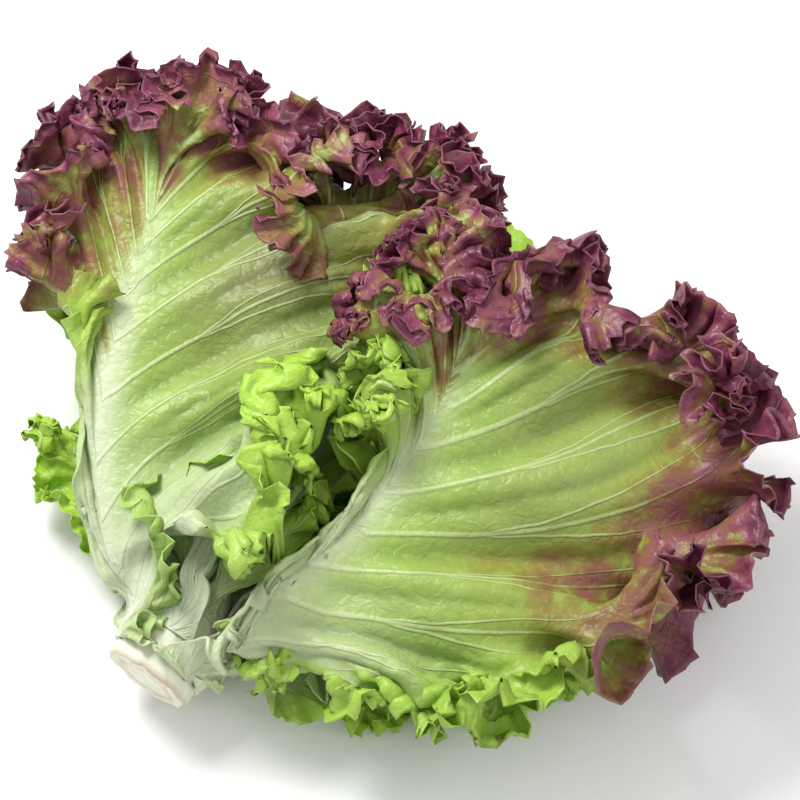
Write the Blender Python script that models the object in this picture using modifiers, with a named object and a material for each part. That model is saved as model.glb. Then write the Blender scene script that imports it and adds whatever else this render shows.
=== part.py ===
"""Red leaf lettuce: one cut head lying on its side, a stem and fifteen leaves, each a solid of its own.

Blender 4.5. Metres, +Z up, the origin on the surface under the middle of the head.
A leaf is a formula: two numbers, around its margin and out from its midrib, give each place on it. It is
drawn flat, bent over its centreline, curled at its margin and waved, then raised clear of the leaves below.
"""

import math

import bmesh
import bpy
import numpy as np
from mathutils import Matrix, Vector

# The stem: its cut face low and towards -X and -Y, and its profile as radius and distance from the cut face
CUT_CENTRE = np.array((-0.0990, -0.1320, 0.0245))
STEM_AXIS = np.array((0.570, 0.800, 0.120))
STEM_PROFILE = (
    (0.0180, 0.000),
    (0.0188, 0.003),
    (0.0176, 0.014),
    (0.0140, 0.028),
    (0.0098, 0.042),
    (0.0050, 0.054),
)
STEM_TIP = 0.058
STEM_SIDES = 28

# The three rows of leaves, from the cut face up: where a leaf starts, its foot, and the rise of its ankle
ROW_STARTS = {1: 0.007, 2: 0.019, 3: 0.032}
FOOT_HALF_WIDTHS = {1: 0.0085, 2: 0.0070, 3: 0.0050}
RIB_THICKNESSES = {1: 0.0055, 2: 0.0045, 3: 0.0032}
ANKLE_RISES = {1: 0.0060, 2: 0.0034, 3: 0.0006}
ANKLE_RUN = 0.016
FOOT_GAP = 0.0006

# A leaf's blade
BLADE_THICKNESS = 0.0010
RIB_HALF_WIDTH = 0.0075
MIDRIB_SHARE = 0.74
NECK_FLOOR = 0.16
BELLY = 0.45
BELLY_SCALE = 1.08
VEIN_BEND = 0.66
FOLDS = 6.5
CURL_START = 0.74
LEAN = 0.20
MARGIN_SAMPLES = 801
EVENNESS = 0.48

# The mesh of a leaf: its rows from the midrib out to the margin, the last ones with finer stations
ROWS = (0.0, 0.10, 0.34, 0.58, 0.78, 0.90, 1.0)
FINE_ROW = 0.78

# Settling: the surface in small squares, and how each leaf is raised clear of those under it
CELL = 0.003
CELLS = 134
FIELD_CORNER = np.array((-0.20, -0.20))
CLEARANCE = 0.0026
CLEAR_REACH = 3
SETTLE_NEAR = 0.031
SETTLE_FAR = 0.066
FLOOR_PRESS = 0.0016
SETTLE_STATIONS = 201
SETTLE_ROWS = 41

STEM_COLOUR = (0.72, 0.70, 0.55)
PALE_GREEN = (0.52, 0.60, 0.25)
GREEN = (0.33, 0.45, 0.11)
RED_GREEN = (0.22, 0.19, 0.08)
LEAF_ROUGHNESS = 0.45
STEM_ROUGHNESS = 0.5


def smooth(low, high, x):
    """0 at low, 1 at high, and a smooth step between them."""
    x = np.clip((np.asarray(x, float) - low) / (high - low), 0.0, 1.0)
    return x * x * (3.0 - 2.0 * x)


def unit(v):
    """v with length 1, along the last axis."""
    v = np.asarray(v, float)
    return v / np.maximum(np.linalg.norm(v, axis=-1, keepdims=True), 1e-12)


def wander(x, seed):
    """A smooth wandering value of x, about -1 to 1, the same for the same seed."""
    draw = np.random.default_rng(seed)
    total = np.zeros_like(np.asarray(x, float))
    for octave in range(3):
        pace = (1.7 + draw.random()) * 2**octave
        start = draw.random() * math.tau
        total = total + np.sin(x * pace + start) / (octave + 1)
    return total / 1.5


def smooth_curve(points, count=240):
    """Evenly spaced points of one smooth curve through the given ones."""
    p = np.array(points, float)
    p = np.vstack([2 * p[0] - p[1], p, 2 * p[-1] - p[-2]])
    u = np.linspace(0.0, 1.0, 60, endpoint=False)[:, None]
    spans = []
    for a, b, c, d in zip(p, p[1:], p[2:], p[3:]):
        cubic = 2 * b + (c - a) * u + (2 * a - 5 * b + 4 * c - d) * u**2 + (3 * b - a - 3 * c + d) * u**3
        spans.append(0.5 * cubic)
    line = np.vstack([*spans, p[-2]])
    run = np.concatenate([[0.0], np.cumsum(np.linalg.norm(np.diff(line, axis=0), axis=1))])
    even = np.linspace(0.0, run[-1], count)
    return np.stack([np.interp(even, run, line[:, k]) for k in range(3)], axis=1)


def stem_radius(along):
    """The stem's radius at a distance from its cut face."""
    return np.interp(along, [z for _, z in STEM_PROFILE], [r for r, _ in STEM_PROFILE])


def stem_directions():
    """The stem's axis, and the directions up and left across it."""
    axis = unit(STEM_AXIS)
    up = unit(np.array((0.0, 0.0, 1.0)) - axis[2] * axis)
    return axis, up, np.cross(up, axis)


class Leaf:
    """A leaf's centreline, its frame along that line, and the numbers that shape its blade.

    row and turn place its foot: turn is in degrees round the stem, 0 on top and positive to the left.
    path is the rest of its centreline, widths its half-widths to the left and right of it, necks the shares
    of its length between which each half widens, and out the side that the back of the blade faces.
    """

    def __init__(self, name, row, turn, path, widths, seed, necks=((0.02, 0.4), (0.02, 0.4)), wrap=(20, 20),
                 out=(0, 0, 1), ruffle=0.0030, wave=0.040, curl=12, pleat=0.0016, stations=30, square=0.75,
                 colour=GREEN):
        axis, up, left = stem_directions()
        radial = up * math.cos(math.radians(turn)) + left * math.sin(math.radians(turn))
        start = ROW_STARTS[row]
        foot = CUT_CENTRE + axis * start + radial * (stem_radius(start) + FOOT_GAP)
        ankle = foot + axis * ANKLE_RUN + radial * ANKLE_RISES[row]
        self.name, self.seed, self.colour = name, seed, colour
        self.widths, self.necks, self.square = widths, necks, square
        self.wrap = [math.radians(w) for w in wrap]
        self.ruffle, self.wave, self.curl, self.pleat = ruffle, wave, math.radians(curl), pleat
        self.stations = stations
        self.rib_thickness = RIB_THICKNESSES[row]
        self.foot_half_width = FOOT_HALF_WIDTHS[row]
        self.foot_bend = self.foot_half_width / stem_radius(start)
        self.line = smooth_curve([foot, ankle, *path])
        turned = smooth(0.04, 0.34, np.linspace(0.0, 1.0, len(self.line)))[:, None]
        facing = radial * (1.0 - turned) + unit(out) * turned
        self.tangent = unit(np.gradient(self.line, axis=0))
        across = np.sum(facing * self.tangent, axis=1, keepdims=True) * self.tangent
        self.outward = unit(facing - across)
        self.right = np.cross(self.tangent, self.outward)
        self.samples = np.linspace(-1.0, 1.0, MARGIN_SAMPLES)
        edge = self.bent(self.samples, np.ones(MARGIN_SAMPLES))
        self.runs = np.concatenate([[0.0], np.cumsum(np.linalg.norm(np.diff(edge, axis=0), axis=1))])

    def at(self, values, share):
        """One of the centreline's values at a share of its length."""
        place = np.linspace(0.0, 1.0, len(self.line))
        return np.stack([np.interp(share, place, values[:, k]) for k in range(3)], axis=-1)

    def run(self, around):
        """The length along the margin, from the foot over the left side."""
        return np.interp(around, self.samples, self.runs)

    def evenly(self, share):
        """around at a mesh station: alike on both sides of the midrib, and nearly even along the margin."""
        tip = MARGIN_SAMPLES // 2
        half = self.samples[tip:]
        left = self.runs[tip] - self.runs[tip::-1]
        right = self.runs[tip:] - self.runs[tip]
        even = (left / left[-1] + right / right[-1]) / 2.0
        place = EVENNESS * even + (1.0 - EVENNESS) * half
        return np.sign(share) * np.interp(np.abs(share), place, half)

    def flat(self, around, out):
        """Where a place lies in the leaf laid flat: across, and as a share of the length.

        around runs from -1 at the foot over the left margin to 0 at the tip, and on to 1 at the foot again.
        out runs from 0 on the midrib to 1 on the margin, along a vein.
        """
        turn = np.pi * np.abs(around)
        end = (1.0 + np.cos(turn)) / 2.0
        start = MIDRIB_SHARE * end**1.35
        necks = [NECK_FLOOR + (1.0 - NECK_FLOOR) * smooth(*neck, end) for neck in self.necks]
        width = np.where(around < 0, self.widths[0] * necks[0], self.widths[1] * necks[1])
        round_end = np.where(turn < np.pi / 2, np.sin(turn) ** self.square, np.sin(turn))
        swell = round_end * (1.0 + BELLY * np.cos(turn)) / BELLY_SCALE
        across = width * swell + self.foot_half_width * smooth(0.72, 1.0, np.abs(around))
        control = start + VEIN_BEND * (end - start)
        x = 2.0 * out * (1.0 - out) * 0.34 * across + out**2 * across
        y = (1.0 - out) ** 2 * start + 2.0 * out * (1.0 - out) * control + out**2 * end
        return np.sign(around) * x, y

    def bent(self, around, out):
        """The blade bent over its centreline, with the folds between its veins."""
        x, y = self.flat(around, out)
        side = np.where(around < 0, 0, 1)
        wrap = np.array(self.wrap)[side] * smooth(0.05, 0.45, y)
        width = np.array(self.widths)[side]
        foot = 1.0 - smooth(0.03, 0.16, y)
        angle = np.abs(x) * (wrap / width * (1.0 - foot) + self.foot_bend / self.foot_half_width * foot)
        across = x * np.sinc(angle / np.pi)
        down = np.abs(x) * angle / 2.0 * np.sinc(angle / math.tau) ** 2
        folds = np.sin(np.abs(around) * math.tau * FOLDS + 0.9 * wander(around * 3.0, self.seed + 7))
        folds = self.pleat * folds * smooth(0.08, 0.5, out) * smooth(0.06, 0.3, y)
        right, outward = self.at(self.right, y), self.at(self.outward, y)
        return self.at(self.line, y) + right * across[..., None] + outward * (folds - down)[..., None]

    def curled(self, around, out):
        """The bent blade with its margin curling outwards."""
        inner = np.minimum(out, CURL_START)
        place, outward, _, away = frame_of(self.bent, around, inner)
        edge = self.bent(around, np.ones_like(out))
        length = np.linalg.norm(edge - self.bent(around, np.full_like(out, CURL_START)), axis=-1)
        uneven = 0.75 + 0.5 * wander(around * 5.0, self.seed + 3)
        strength = np.clip(np.abs(self.curl * smooth(1.0, 0.72, np.abs(around)) * uneven), 0.05, 2.6)
        radius = (np.maximum(length, 1e-5) / strength)[..., None]
        angle = ((out - inner) / (1.0 - CURL_START) * strength)[..., None]
        return place + away * radius * np.sin(angle) + outward * radius * (1.0 - np.cos(angle))

    def surface(self, around, out):
        """The inner face of the leaf, with the big waves of its margin."""
        around, out = np.broadcast_arrays(np.asarray(around, float), np.asarray(out, float))
        reach = np.abs(self.flat(around, np.ones_like(out))[0]) + 0.03 * smooth(0.4, 0.1, np.abs(around))
        height = self.ruffle * smooth(0.42, 1.0, out) ** 1.2 * smooth(0.95, 0.76, np.abs(around))
        height = height * smooth(0.006, 0.034, reach)
        return ruffled(self.curled, around, out, height, self.run(around) / self.wave, self.seed)

    def thickness(self, around, out):
        """How thick the leaf is, from its midrib to its blade."""
        x, y = self.flat(around, out)
        rib = np.exp(-((x / (RIB_HALF_WIDTH * (1.0 - 0.75 * y))) ** 2))
        rib = rib * np.clip(1.0 - 1.25 * y, 0.0, 1.0) ** 0.8 * (0.45 + 0.55 * smooth(0.0, 0.1, y))
        return BLADE_THICKNESS + (self.rib_thickness - BLADE_THICKNESS) * rib


def frame_of(surface, around, out):
    """A surface's place and outward normal, and its directions along the margin and away from the midrib."""
    step = 1e-3
    place = surface(around, out)
    along = unit(surface(np.clip(around + step, -1, 1), out) - surface(np.clip(around - step, -1, 1), out))
    away = unit(surface(around, np.minimum(out + step, 1.0)) - surface(around, np.maximum(out - step, 0.0)))
    return place, unit(np.cross(along, away)), along, away


def ruffled(surface, around, out, height, waves, seed):
    """The surface with waves along its margin, counted from the foot, that lean over as they rise."""
    place, outward, along, _ = frame_of(surface, around, out)
    phase = math.tau * (waves + 0.25 * wander(around * 9.0, seed + 1))
    phase = phase + 0.8 * (1.0 - out) * wander(around * 11.0, seed + 2)
    size = height * (1.0 + 0.3 * wander(around * 7.0, seed))
    rise = (size * np.sin(phase))[..., None]
    slip = (LEAN * size * np.sin(2.0 * phase))[..., None]
    return place + outward * rise - along * slip


def spread(field, reach):
    """The highest value within a few squares of each."""
    for _ in range(reach):
        padded = np.pad(field, 1, mode="edge")
        field = np.max([padded[i : i + CELLS, j : j + CELLS] for i in range(3) for j in range(3)], axis=0)
    return field


def average(field):
    """The mean of each square and its neighbours."""
    padded = np.pad(field, 1, mode="edge")
    return np.mean([padded[i : i + CELLS, j : j + CELLS] for i in range(3) for j in range(3)], axis=0)


def pressed(points, least):
    """The points, with those below a least height raised to it."""
    return np.concatenate([points[..., :2], np.maximum(points[..., 2:], least)], axis=-1)


class Heights:
    """The highest point so far over each small square of the surface that the head lies on."""

    def __init__(self):
        self.top = np.zeros((CELLS, CELLS))

    def cells(self, points):
        """The squares that the points are over."""
        index = ((points[..., :2] - FIELD_CORNER) / CELL).astype(int)
        return np.clip(index[..., 0], 0, CELLS - 1), np.clip(index[..., 1], 0, CELLS - 1)

    def centres(self):
        """The middle of every square."""
        x, y = np.meshgrid(np.arange(CELLS), np.arange(CELLS), indexing="ij")
        return FIELD_CORNER + (np.stack([x, y], axis=-1) + 0.5) * CELL

    def lift_for(self, points):
        """How far a sheet has to rise over each square, spread and averaged into one soft curve."""
        low = np.full_like(self.top, np.inf)
        np.minimum.at(low, self.cells(points), points[..., 2])
        below = spread(self.top, 1)
        need = np.where(np.isfinite(low) & (below > 0.0), below + CLEARANCE - low, 0.0)
        need = spread(np.maximum(need, 0.0), CLEAR_REACH)
        for _ in range(CLEAR_REACH):
            need = average(need)
        away = np.linalg.norm(self.centres() - CUT_CENTRE[:2], axis=-1)
        return need * smooth(SETTLE_NEAR, SETTLE_FAR, away)

    def add(self, points):
        """Takes the points of a settled sheet into account."""
        np.maximum.at(self.top, self.cells(points), points[..., 2])


def lifted(lift, points):
    """The points raised by the lift over them."""
    place = np.clip((points[..., :2] - FIELD_CORNER) / CELL - 0.5, 0, CELLS - 1.001)
    i, j = place[..., 0].astype(int), place[..., 1].astype(int)
    u, v = place[..., 0] - i, place[..., 1] - j
    near = lift[i, j] * (1 - u) + lift[i + 1, j] * u
    far = lift[i, j + 1] * (1 - u) + lift[i + 1, j + 1] * u
    return points + (near * (1 - v) + far * v)[..., None] * np.array((0.0, 0.0, 1.0))


DOWN = (0, 0, -1)
SLIM = (0.05, 0.5)
BARE = (0.4, 0.85)
LEAVES = (
    Leaf("leaf_under_centre", 1, 180,
         ((-0.070, -0.085, 0.008), (-0.040, -0.035, 0.003), (0.000, 0.030, 0.002), (0.030, 0.085, 0.002)),
         widths=(0.062, 0.062), wrap=(6, 6), out=DOWN, ruffle=0.0025, seed=11, colour=PALE_GREEN),
    Leaf("leaf_under_left", 1, 112,
         ((-0.112, -0.085, 0.010), (-0.112, -0.045, 0.006), (-0.108, 0.010, 0.005), (-0.106, 0.075, 0.006)),
         widths=(0.055, 0.018), wrap=(10, 10), out=(-0.2, 0, -1), ruffle=0.0025, seed=12, colour=PALE_GREEN),
    Leaf("leaf_under_right", 1, -112,
         ((-0.050, -0.124, 0.010), (0.000, -0.112, 0.006), (0.040, -0.104, 0.005), (0.080, -0.094, 0.006)),
         widths=(0.034, 0.046), necks=((-0.02, 0.24), (0.02, 0.4)), wrap=(10, 10), out=(0, -0.2, -1),
         ruffle=0.0025, seed=13, colour=PALE_GREEN),
    Leaf("leaf_inner_left", 2, 145,
         ((-0.090, -0.080, 0.016), (-0.088, -0.020, 0.014), (-0.080, 0.040, 0.016), (-0.060, 0.108, 0.018)),
         widths=(0.060, 0.048), necks=(SLIM, SLIM), out=DOWN, seed=14),
    Leaf("leaf_inner_right", 2, -145,
         ((-0.056, -0.106, 0.016), (-0.018, -0.066, 0.014), (0.040, -0.020, 0.016), (0.088, 0.020, 0.018)),
         widths=(0.060, 0.056), necks=(SLIM, SLIM), out=DOWN, seed=15),
    Leaf("leaf_low_right", 3, -110,
         ((-0.050, -0.105, 0.023), (0.000, -0.096, 0.024), (0.060, -0.084, 0.026), (0.136, -0.060, 0.028)),
         widths=(0.052, 0.040), necks=(SLIM, SLIM), ruffle=0.0045, curl=25, seed=17),
    Leaf("leaf_small_left", 3, 134,
         ((-0.084, -0.070, 0.021), (-0.104, -0.046, 0.022), (-0.118, -0.012, 0.024)),
         widths=(0.020, 0.024), ruffle=0.003, curl=25, wave=0.030, seed=16, stations=24, colour=PALE_GREEN),
    Leaf("leaf_left_second", 2, 90,
         ((-0.101, -0.078, 0.032), (-0.112, -0.046, 0.036), (-0.115, -0.008, 0.040), (-0.106, 0.052, 0.044),
          (-0.092, 0.095, 0.046)),
         widths=(0.034, 0.068), necks=((0.35, 0.8), SLIM), wrap=(45, 20), ruffle=0.0045, curl=35, seed=18,
         stations=36),
    Leaf("leaf_right_second", 2, -77,
         ((-0.056, -0.118, 0.0320), (0.000, -0.094, 0.037), (0.052, -0.058, 0.042), (0.108, -0.012, 0.044)),
         widths=(0.062, 0.070), necks=(SLIM, (0.02, 0.4)), wrap=(20, 30), ruffle=0.0045, curl=35, seed=19,
         stations=36),
    Leaf("leaf_heart_centre", 3, 22,
         ((-0.066, -0.078, 0.042), (-0.040, -0.045, 0.044), (-0.010, 0.010, 0.048), (0.010, 0.045, 0.050)),
         widths=(0.034, 0.038), necks=(BARE, SLIM), ruffle=0.0035, curl=20, seed=20),
    Leaf("leaf_heart_left", 3, 86,
         ((-0.086, -0.066, 0.039), (-0.077, -0.034, 0.048)),
         widths=(0.014, 0.016), wave=0.028, ruffle=0.0025, curl=25, seed=23, stations=20, colour=PALE_GREEN),
    Leaf("leaf_heart_right", 3, -28,
         ((-0.053, -0.084, 0.045), (-0.034, -0.054, 0.050)),
         widths=(0.014, 0.016), wave=0.028, ruffle=0.0025, curl=25, seed=24, stations=20, colour=PALE_GREEN),
    Leaf("leaf_centre", 2, 0,
         ((-0.079, -0.094, 0.051), (-0.060, -0.062, 0.057), (-0.032, -0.008, 0.064), (-0.008, 0.044, 0.070),
          (0.010, 0.088, 0.072)),
         widths=(0.052, 0.052), necks=(BARE, BARE), wrap=(30, 30), ruffle=0.0060, curl=28, seed=22,
         stations=38, colour=RED_GREEN),
    Leaf("leaf_left_outer", 1, 60,
         ((-0.114, -0.087, 0.048), (-0.118, -0.050, 0.060), (-0.112, -0.009, 0.070), (-0.094, 0.055, 0.078),
          (-0.074, 0.108, 0.078)),
         widths=(0.072, 0.104), necks=((0.4, 0.9), (-0.02, 0.22)), wrap=(30, 15), ruffle=0.008, wave=0.044,
         curl=45, pleat=0.0045, seed=21, stations=42, square=0.95, colour=RED_GREEN),
    Leaf("leaf_right_outer", 1, -55,
         ((-0.066, -0.129, 0.0485), (-0.048, -0.1125, 0.0565), (-0.010, -0.076, 0.068),
          (0.015, -0.040, 0.078), (0.027, 0.000, 0.084), (0.038, 0.040, 0.084)),
         widths=(0.052, 0.140), necks=((0.45, 0.9), (0.02, 0.34)), wrap=(40, 28), ruffle=0.008, wave=0.046,
         curl=45, pleat=0.0062, seed=25, stations=50, square=1.0, colour=RED_GREEN),
)


def settle(leaves):
    """Each leaf's lift, worked out from the lowest leaf to the highest, as they settle on one another."""
    heights, lifts = Heights(), {}
    stations, rows = np.linspace(-1, 1, SETTLE_STATIONS), np.linspace(0, 1, SETTLE_ROWS)
    around, out = np.meshgrid(stations, rows, indexing="ij")
    for leaf in leaves:
        sheet, outward, _, _ = frame_of(leaf.surface, around, out)
        back = sheet + outward * leaf.thickness(around, out)[..., None]
        both = np.stack([sheet, back])
        lifts[leaf.name] = heights.lift_for(both)
        heights.add(pressed(lifted(lifts[leaf.name], both), FLOOR_PRESS))
    return lifts


def leaf_grid(leaf):
    """The leaf's flat mesh in around and out, with finer stations along the margin."""
    bm = bmesh.new()
    bmesh.ops.create_grid(bm, x_segments=leaf.stations, y_segments=len(ROWS) - 1, size=1.0)
    for v in bm.verts:
        v.co.y = np.interp(v.co.y, np.linspace(-1, 1, len(ROWS)), ROWS)
    level = [e for e in bm.edges if abs(e.verts[0].co.y - e.verts[1].co.y) < 1e-6]
    margin = [e for e in level if e.verts[0].co.y > FINE_ROW + 1e-3]
    bmesh.ops.subdivide_edges(bm, edges=margin, cuts=1, use_grid_fill=True)
    return bm


def make_sheet(leaf, lift, collection):
    """The leaf's inner face, bent into shape, in triangles, with its thickness as a vertex group."""
    bm = leaf_grid(leaf)
    around = leaf.evenly(np.array([v.co.x for v in bm.verts]))
    out = np.array([v.co.y for v in bm.verts])
    places = pressed(lifted(lift, leaf.surface(around, out)), FLOOR_PRESS)
    weights = bm.verts.layers.deform.verify()
    for v, place, thickness in zip(bm.verts, places, leaf.thickness(around, out)):
        v.co = place
        v[weights][0] = float(thickness / leaf.rib_thickness)
    bmesh.ops.remove_doubles(bm, verts=bm.verts, dist=1e-6)
    bmesh.ops.triangulate(bm, faces=bm.faces)
    mesh = bpy.data.meshes.new(leaf.name + "_sheet")
    bm.to_mesh(mesh)
    bm.free()
    sheet = bpy.data.objects.new(leaf.name + "_sheet", mesh)
    sheet.vertex_groups.new(name="thickness")
    collection.objects.link(sheet)
    return sheet


def make_leaf(leaf, lift, collection):
    """One leaf: its sheet thickened on the outer side, and pressed flat where it meets the surface."""
    sheet = make_sheet(leaf, lift, collection)
    solidify = sheet.modifiers.new("thickness", "SOLIDIFY")
    solidify.thickness = leaf.rib_thickness
    solidify.offset = 1.0
    solidify.vertex_group = "thickness"
    bpy.context.view_layer.update()
    solid = bpy.data.meshes.new_from_object(sheet.evaluated_get(bpy.context.evaluated_depsgraph_get()))
    bpy.data.objects.remove(sheet)
    for v in solid.vertices:
        if v.co.z < FLOOR_PRESS - 1e-6:
            v.co.z = 0.0
    solid.shade_smooth()
    solid.materials.clear()
    solid.materials.append(finish_material(leaf.name, leaf.colour, LEAF_ROUGHNESS))
    node = bpy.data.objects.new(leaf.name, solid)
    collection.objects.link(node)
    return node


def finish_material(name, colour, roughness):
    """A Principled material of one colour, not metallic."""
    material = bpy.data.materials.new(name)
    material.use_nodes = True
    shader = material.node_tree.nodes["Principled BSDF"]
    shader.inputs["Base Color"].default_value = (*colour, 1.0)
    shader.inputs["Roughness"].default_value = roughness
    shader.inputs["Metallic"].default_value = 0.0
    return material


def make_stem(collection):
    """The stem, turned round its axis from its cut face to its tip."""
    mesh = bpy.data.meshes.new("stem")
    bm = bmesh.new()
    outline = [(0.0, 0.0), *STEM_PROFILE, (0.0, STEM_TIP)]
    points = [bm.verts.new((r, 0.0, z)) for r, z in reversed(outline)]
    for first, second in zip(points, points[1:]):
        bm.edges.new((first, second))
    bm.to_mesh(mesh)
    bm.free()
    stem = bpy.data.objects.new("stem", mesh)
    collection.objects.link(stem)
    screw = stem.modifiers.new("turning", "SCREW")
    screw.steps = screw.render_steps = STEM_SIDES
    screw.use_merge_vertices = True
    screw.merge_threshold = 0.0001
    axis, up, left = stem_directions()
    across = Matrix((left, up, axis)).transposed().to_4x4()
    stem.matrix_world = Matrix.Translation(Vector(CUT_CENTRE)) @ across
    mesh.materials.append(finish_material("stem", STEM_COLOUR, STEM_ROUGHNESS))
    mesh.shade_smooth()
    return stem


def centre(objects):
    """Moves everything so that the origin lies on the surface under the middle of the head."""
    bpy.context.view_layer.update()
    graph = bpy.context.evaluated_depsgraph_get()
    corners = [o.matrix_world @ v.co for o in objects for v in o.evaluated_get(graph).to_mesh().vertices]
    low = Vector([min(c[k] for c in corners) for k in range(3)])
    high = Vector([max(c[k] for c in corners) for k in range(3)])
    shift = Vector((-(low.x + high.x) / 2, -(low.y + high.y) / 2, -low.z))
    for o in objects:
        o.location = o.location + shift


def main():
    """Clears the scene and builds the head."""
    for o in list(bpy.data.objects):
        bpy.data.objects.remove(o)
    head = bpy.data.collections.new("red_leaf_lettuce")
    bpy.context.scene.collection.children.link(head)
    lifts = settle(LEAVES)
    centre([make_stem(head), *[make_leaf(leaf, lifts[leaf.name], head) for leaf in LEAVES]])


if __name__ == "__main__":
    main()
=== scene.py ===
"""Red leaf lettuce: the finished head, its leaves, cut stem, floor, light and camera.

Each leaf follows the same formula as its solid: two numbers, around its margin and out from its midrib, give
each place on it. Here the margin is also folded back, crimped and toothed, and the ribs and veins stand out.
"""

import math

import bmesh
import bpy
import numpy as np
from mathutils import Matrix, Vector


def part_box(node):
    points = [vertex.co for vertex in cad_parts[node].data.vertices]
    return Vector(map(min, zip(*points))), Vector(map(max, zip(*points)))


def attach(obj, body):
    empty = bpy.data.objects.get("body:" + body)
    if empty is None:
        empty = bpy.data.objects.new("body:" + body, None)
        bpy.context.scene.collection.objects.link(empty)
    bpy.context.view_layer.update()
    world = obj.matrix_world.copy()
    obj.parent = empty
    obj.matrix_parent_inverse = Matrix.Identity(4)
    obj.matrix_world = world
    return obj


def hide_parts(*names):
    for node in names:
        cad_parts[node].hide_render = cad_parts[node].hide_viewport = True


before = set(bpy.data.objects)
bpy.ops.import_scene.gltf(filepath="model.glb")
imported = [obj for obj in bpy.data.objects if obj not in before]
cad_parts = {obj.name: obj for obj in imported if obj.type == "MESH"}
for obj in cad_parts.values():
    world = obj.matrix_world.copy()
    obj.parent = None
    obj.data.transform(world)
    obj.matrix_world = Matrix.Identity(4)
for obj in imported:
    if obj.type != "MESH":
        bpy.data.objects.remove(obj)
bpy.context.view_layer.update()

bl_info = {
    "name": "Red leaf lettuce",
    "version": (1, 0, 0),
    "blender": (4, 5, 0),
    "location": "3D View > Sidebar > Lettuce",
    "description": "Builds a head of red leaf lettuce with its frilled leaves and cut stem",
    "category": "Add Mesh",
}

# The stem: its cut face low and towards -X and -Y, and its profile as radius and distance from the cut face
CUT_CENTRE = np.array((-0.0990, -0.1320, 0.0245))
STEM_AXIS = np.array((0.570, 0.800, 0.120))
STEM_PROFILE = (
    (0.0180, 0.000),
    (0.0188, 0.003),
    (0.0176, 0.014),
    (0.0140, 0.028),
    (0.0098, 0.042),
    (0.0050, 0.054),
)
STEM_END = (0.0030, 0.0565)

# The finished stem: rings of its slightly dished cut face as shares of its radius, its sides and rows, how
# deep its leaf scars and grooves are, how far the edge of the cut waves, and where the ring of fibres runs
CUT_RINGS = (0.12, 0.3, 0.5, 0.7, 0.86, 0.95)
CUT_RADIUS = 0.0178
CUT_DISH = 0.0006
STEM_SIDES = 160
STEM_ROWS = 60
SCAR_DEPTH = 0.0006
GROOVE_DEPTH = 0.0003
CUT_WAVE = 0.0005
STEM_INSET = 0.0005
FIBRE_RADIUS = 0.0125
FIBRE_WIDTH = 0.0016

# The three rows of leaves, from the cut face up: where a leaf starts, its foot, and the rise of its ankle
ROW_STARTS = {1: 0.007, 2: 0.019, 3: 0.032}
FOOT_HALF_WIDTHS = {1: 0.0085, 2: 0.0070, 3: 0.0050}
RIB_THICKNESSES = {1: 0.0055, 2: 0.0045, 3: 0.0032}
ANKLE_RISES = {1: 0.0060, 2: 0.0034, 3: 0.0006}
ANKLE_RUN = 0.016
FOOT_GAP = 0.0006
FOOT_GAINS = {1: 2.4, 2: 1.5, 3: 1.3}

# A leaf's blade
SOLID_BLADE = 0.0010
RIB_HALF_WIDTH = 0.0075
MIDRIB_SHARE = 0.74
NECK_FLOOR = 0.16
BELLY = 0.45
BELLY_SCALE = 1.08
VEIN_BEND = 0.66
FOLDS = 6.5
CURL_START = 0.74
LEAN = 0.20
MARGIN_SAMPLES = 801

# Settling: the surface in small squares, how each leaf is raised clear of those under it, how the margins are
# kept under the leaves above them, and the height from which the top of the head is pressed softly down
CELL = 0.003
CELLS = 134
FIELD_CORNER = np.array((-0.20, -0.20))
CLEARANCE = 0.0026
CLEAR_REACH = 3
SETTLE_NEAR = 0.031
SETTLE_FAR = 0.066
FLOOR_PRESS = 0.0016
SETTLE_STATIONS = 201
SETTLE_ROWS = 41
COVER_OUT = 0.86
COVER_NEAR = 0.055
COVER_ROOM = 0.0014
TOP_START = 0.088
TOP_ROOM = 0.0155

# A fine leaf: its rows from the midrib to the margin, as groups of start, end, number of rows and every how
# many stations they keep one; the grid's places for each station; the spill that would lie flat; how far the
# veins sweep forward; the height of a plain rib; and how many teeth are drawn before their heights repeat
ROW_GROUPS = ((0.0, 0.40, 7, 8), (0.45, 0.62, 6, 4), (0.65, 0.86, 9, 2), (0.88, 1.0, 10, 1))
GRID_STATIONS = 2
FLAT_SPILL = 0.075
VEIN_SWEEP = 1.3
PLAIN_RIB = 0.0012
TOOTH_DRAWS = 4000

# The branches of a main vein: how far out each leaves it, and how far it goes towards the next main vein
BRANCHES = ((0.28, 0.44),)


def linear(code):
    """A linear colour from an sRGB hex value."""
    parts = [int(code[i : i + 2], 16) / 255 for i in (1, 3, 5)]
    return tuple(c / 12.92 if c <= 0.04045 else ((c + 0.055) / 1.055) ** 2.4 for c in parts)


def smooth(low, high, x):
    """0 at low, 1 at high, and a smooth step between them."""
    x = np.clip((np.asarray(x, float) - low) / (high - low), 0.0, 1.0)
    return x * x * (3.0 - 2.0 * x)


def unit(v):
    """v with length 1, along the last axis."""
    v = np.asarray(v, float)
    return v / np.maximum(np.linalg.norm(v, axis=-1, keepdims=True), 1e-12)


def wander(x, seed):
    """A smooth wandering value of x, about -1 to 1, the same for the same seed."""
    draw = np.random.default_rng(seed)
    total = np.zeros_like(np.asarray(x, float))
    for octave in range(3):
        pace = (1.7 + draw.random()) * 2**octave
        start = draw.random() * math.tau
        total = total + np.sin(x * pace + start) / (octave + 1)
    return total / 1.5


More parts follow.
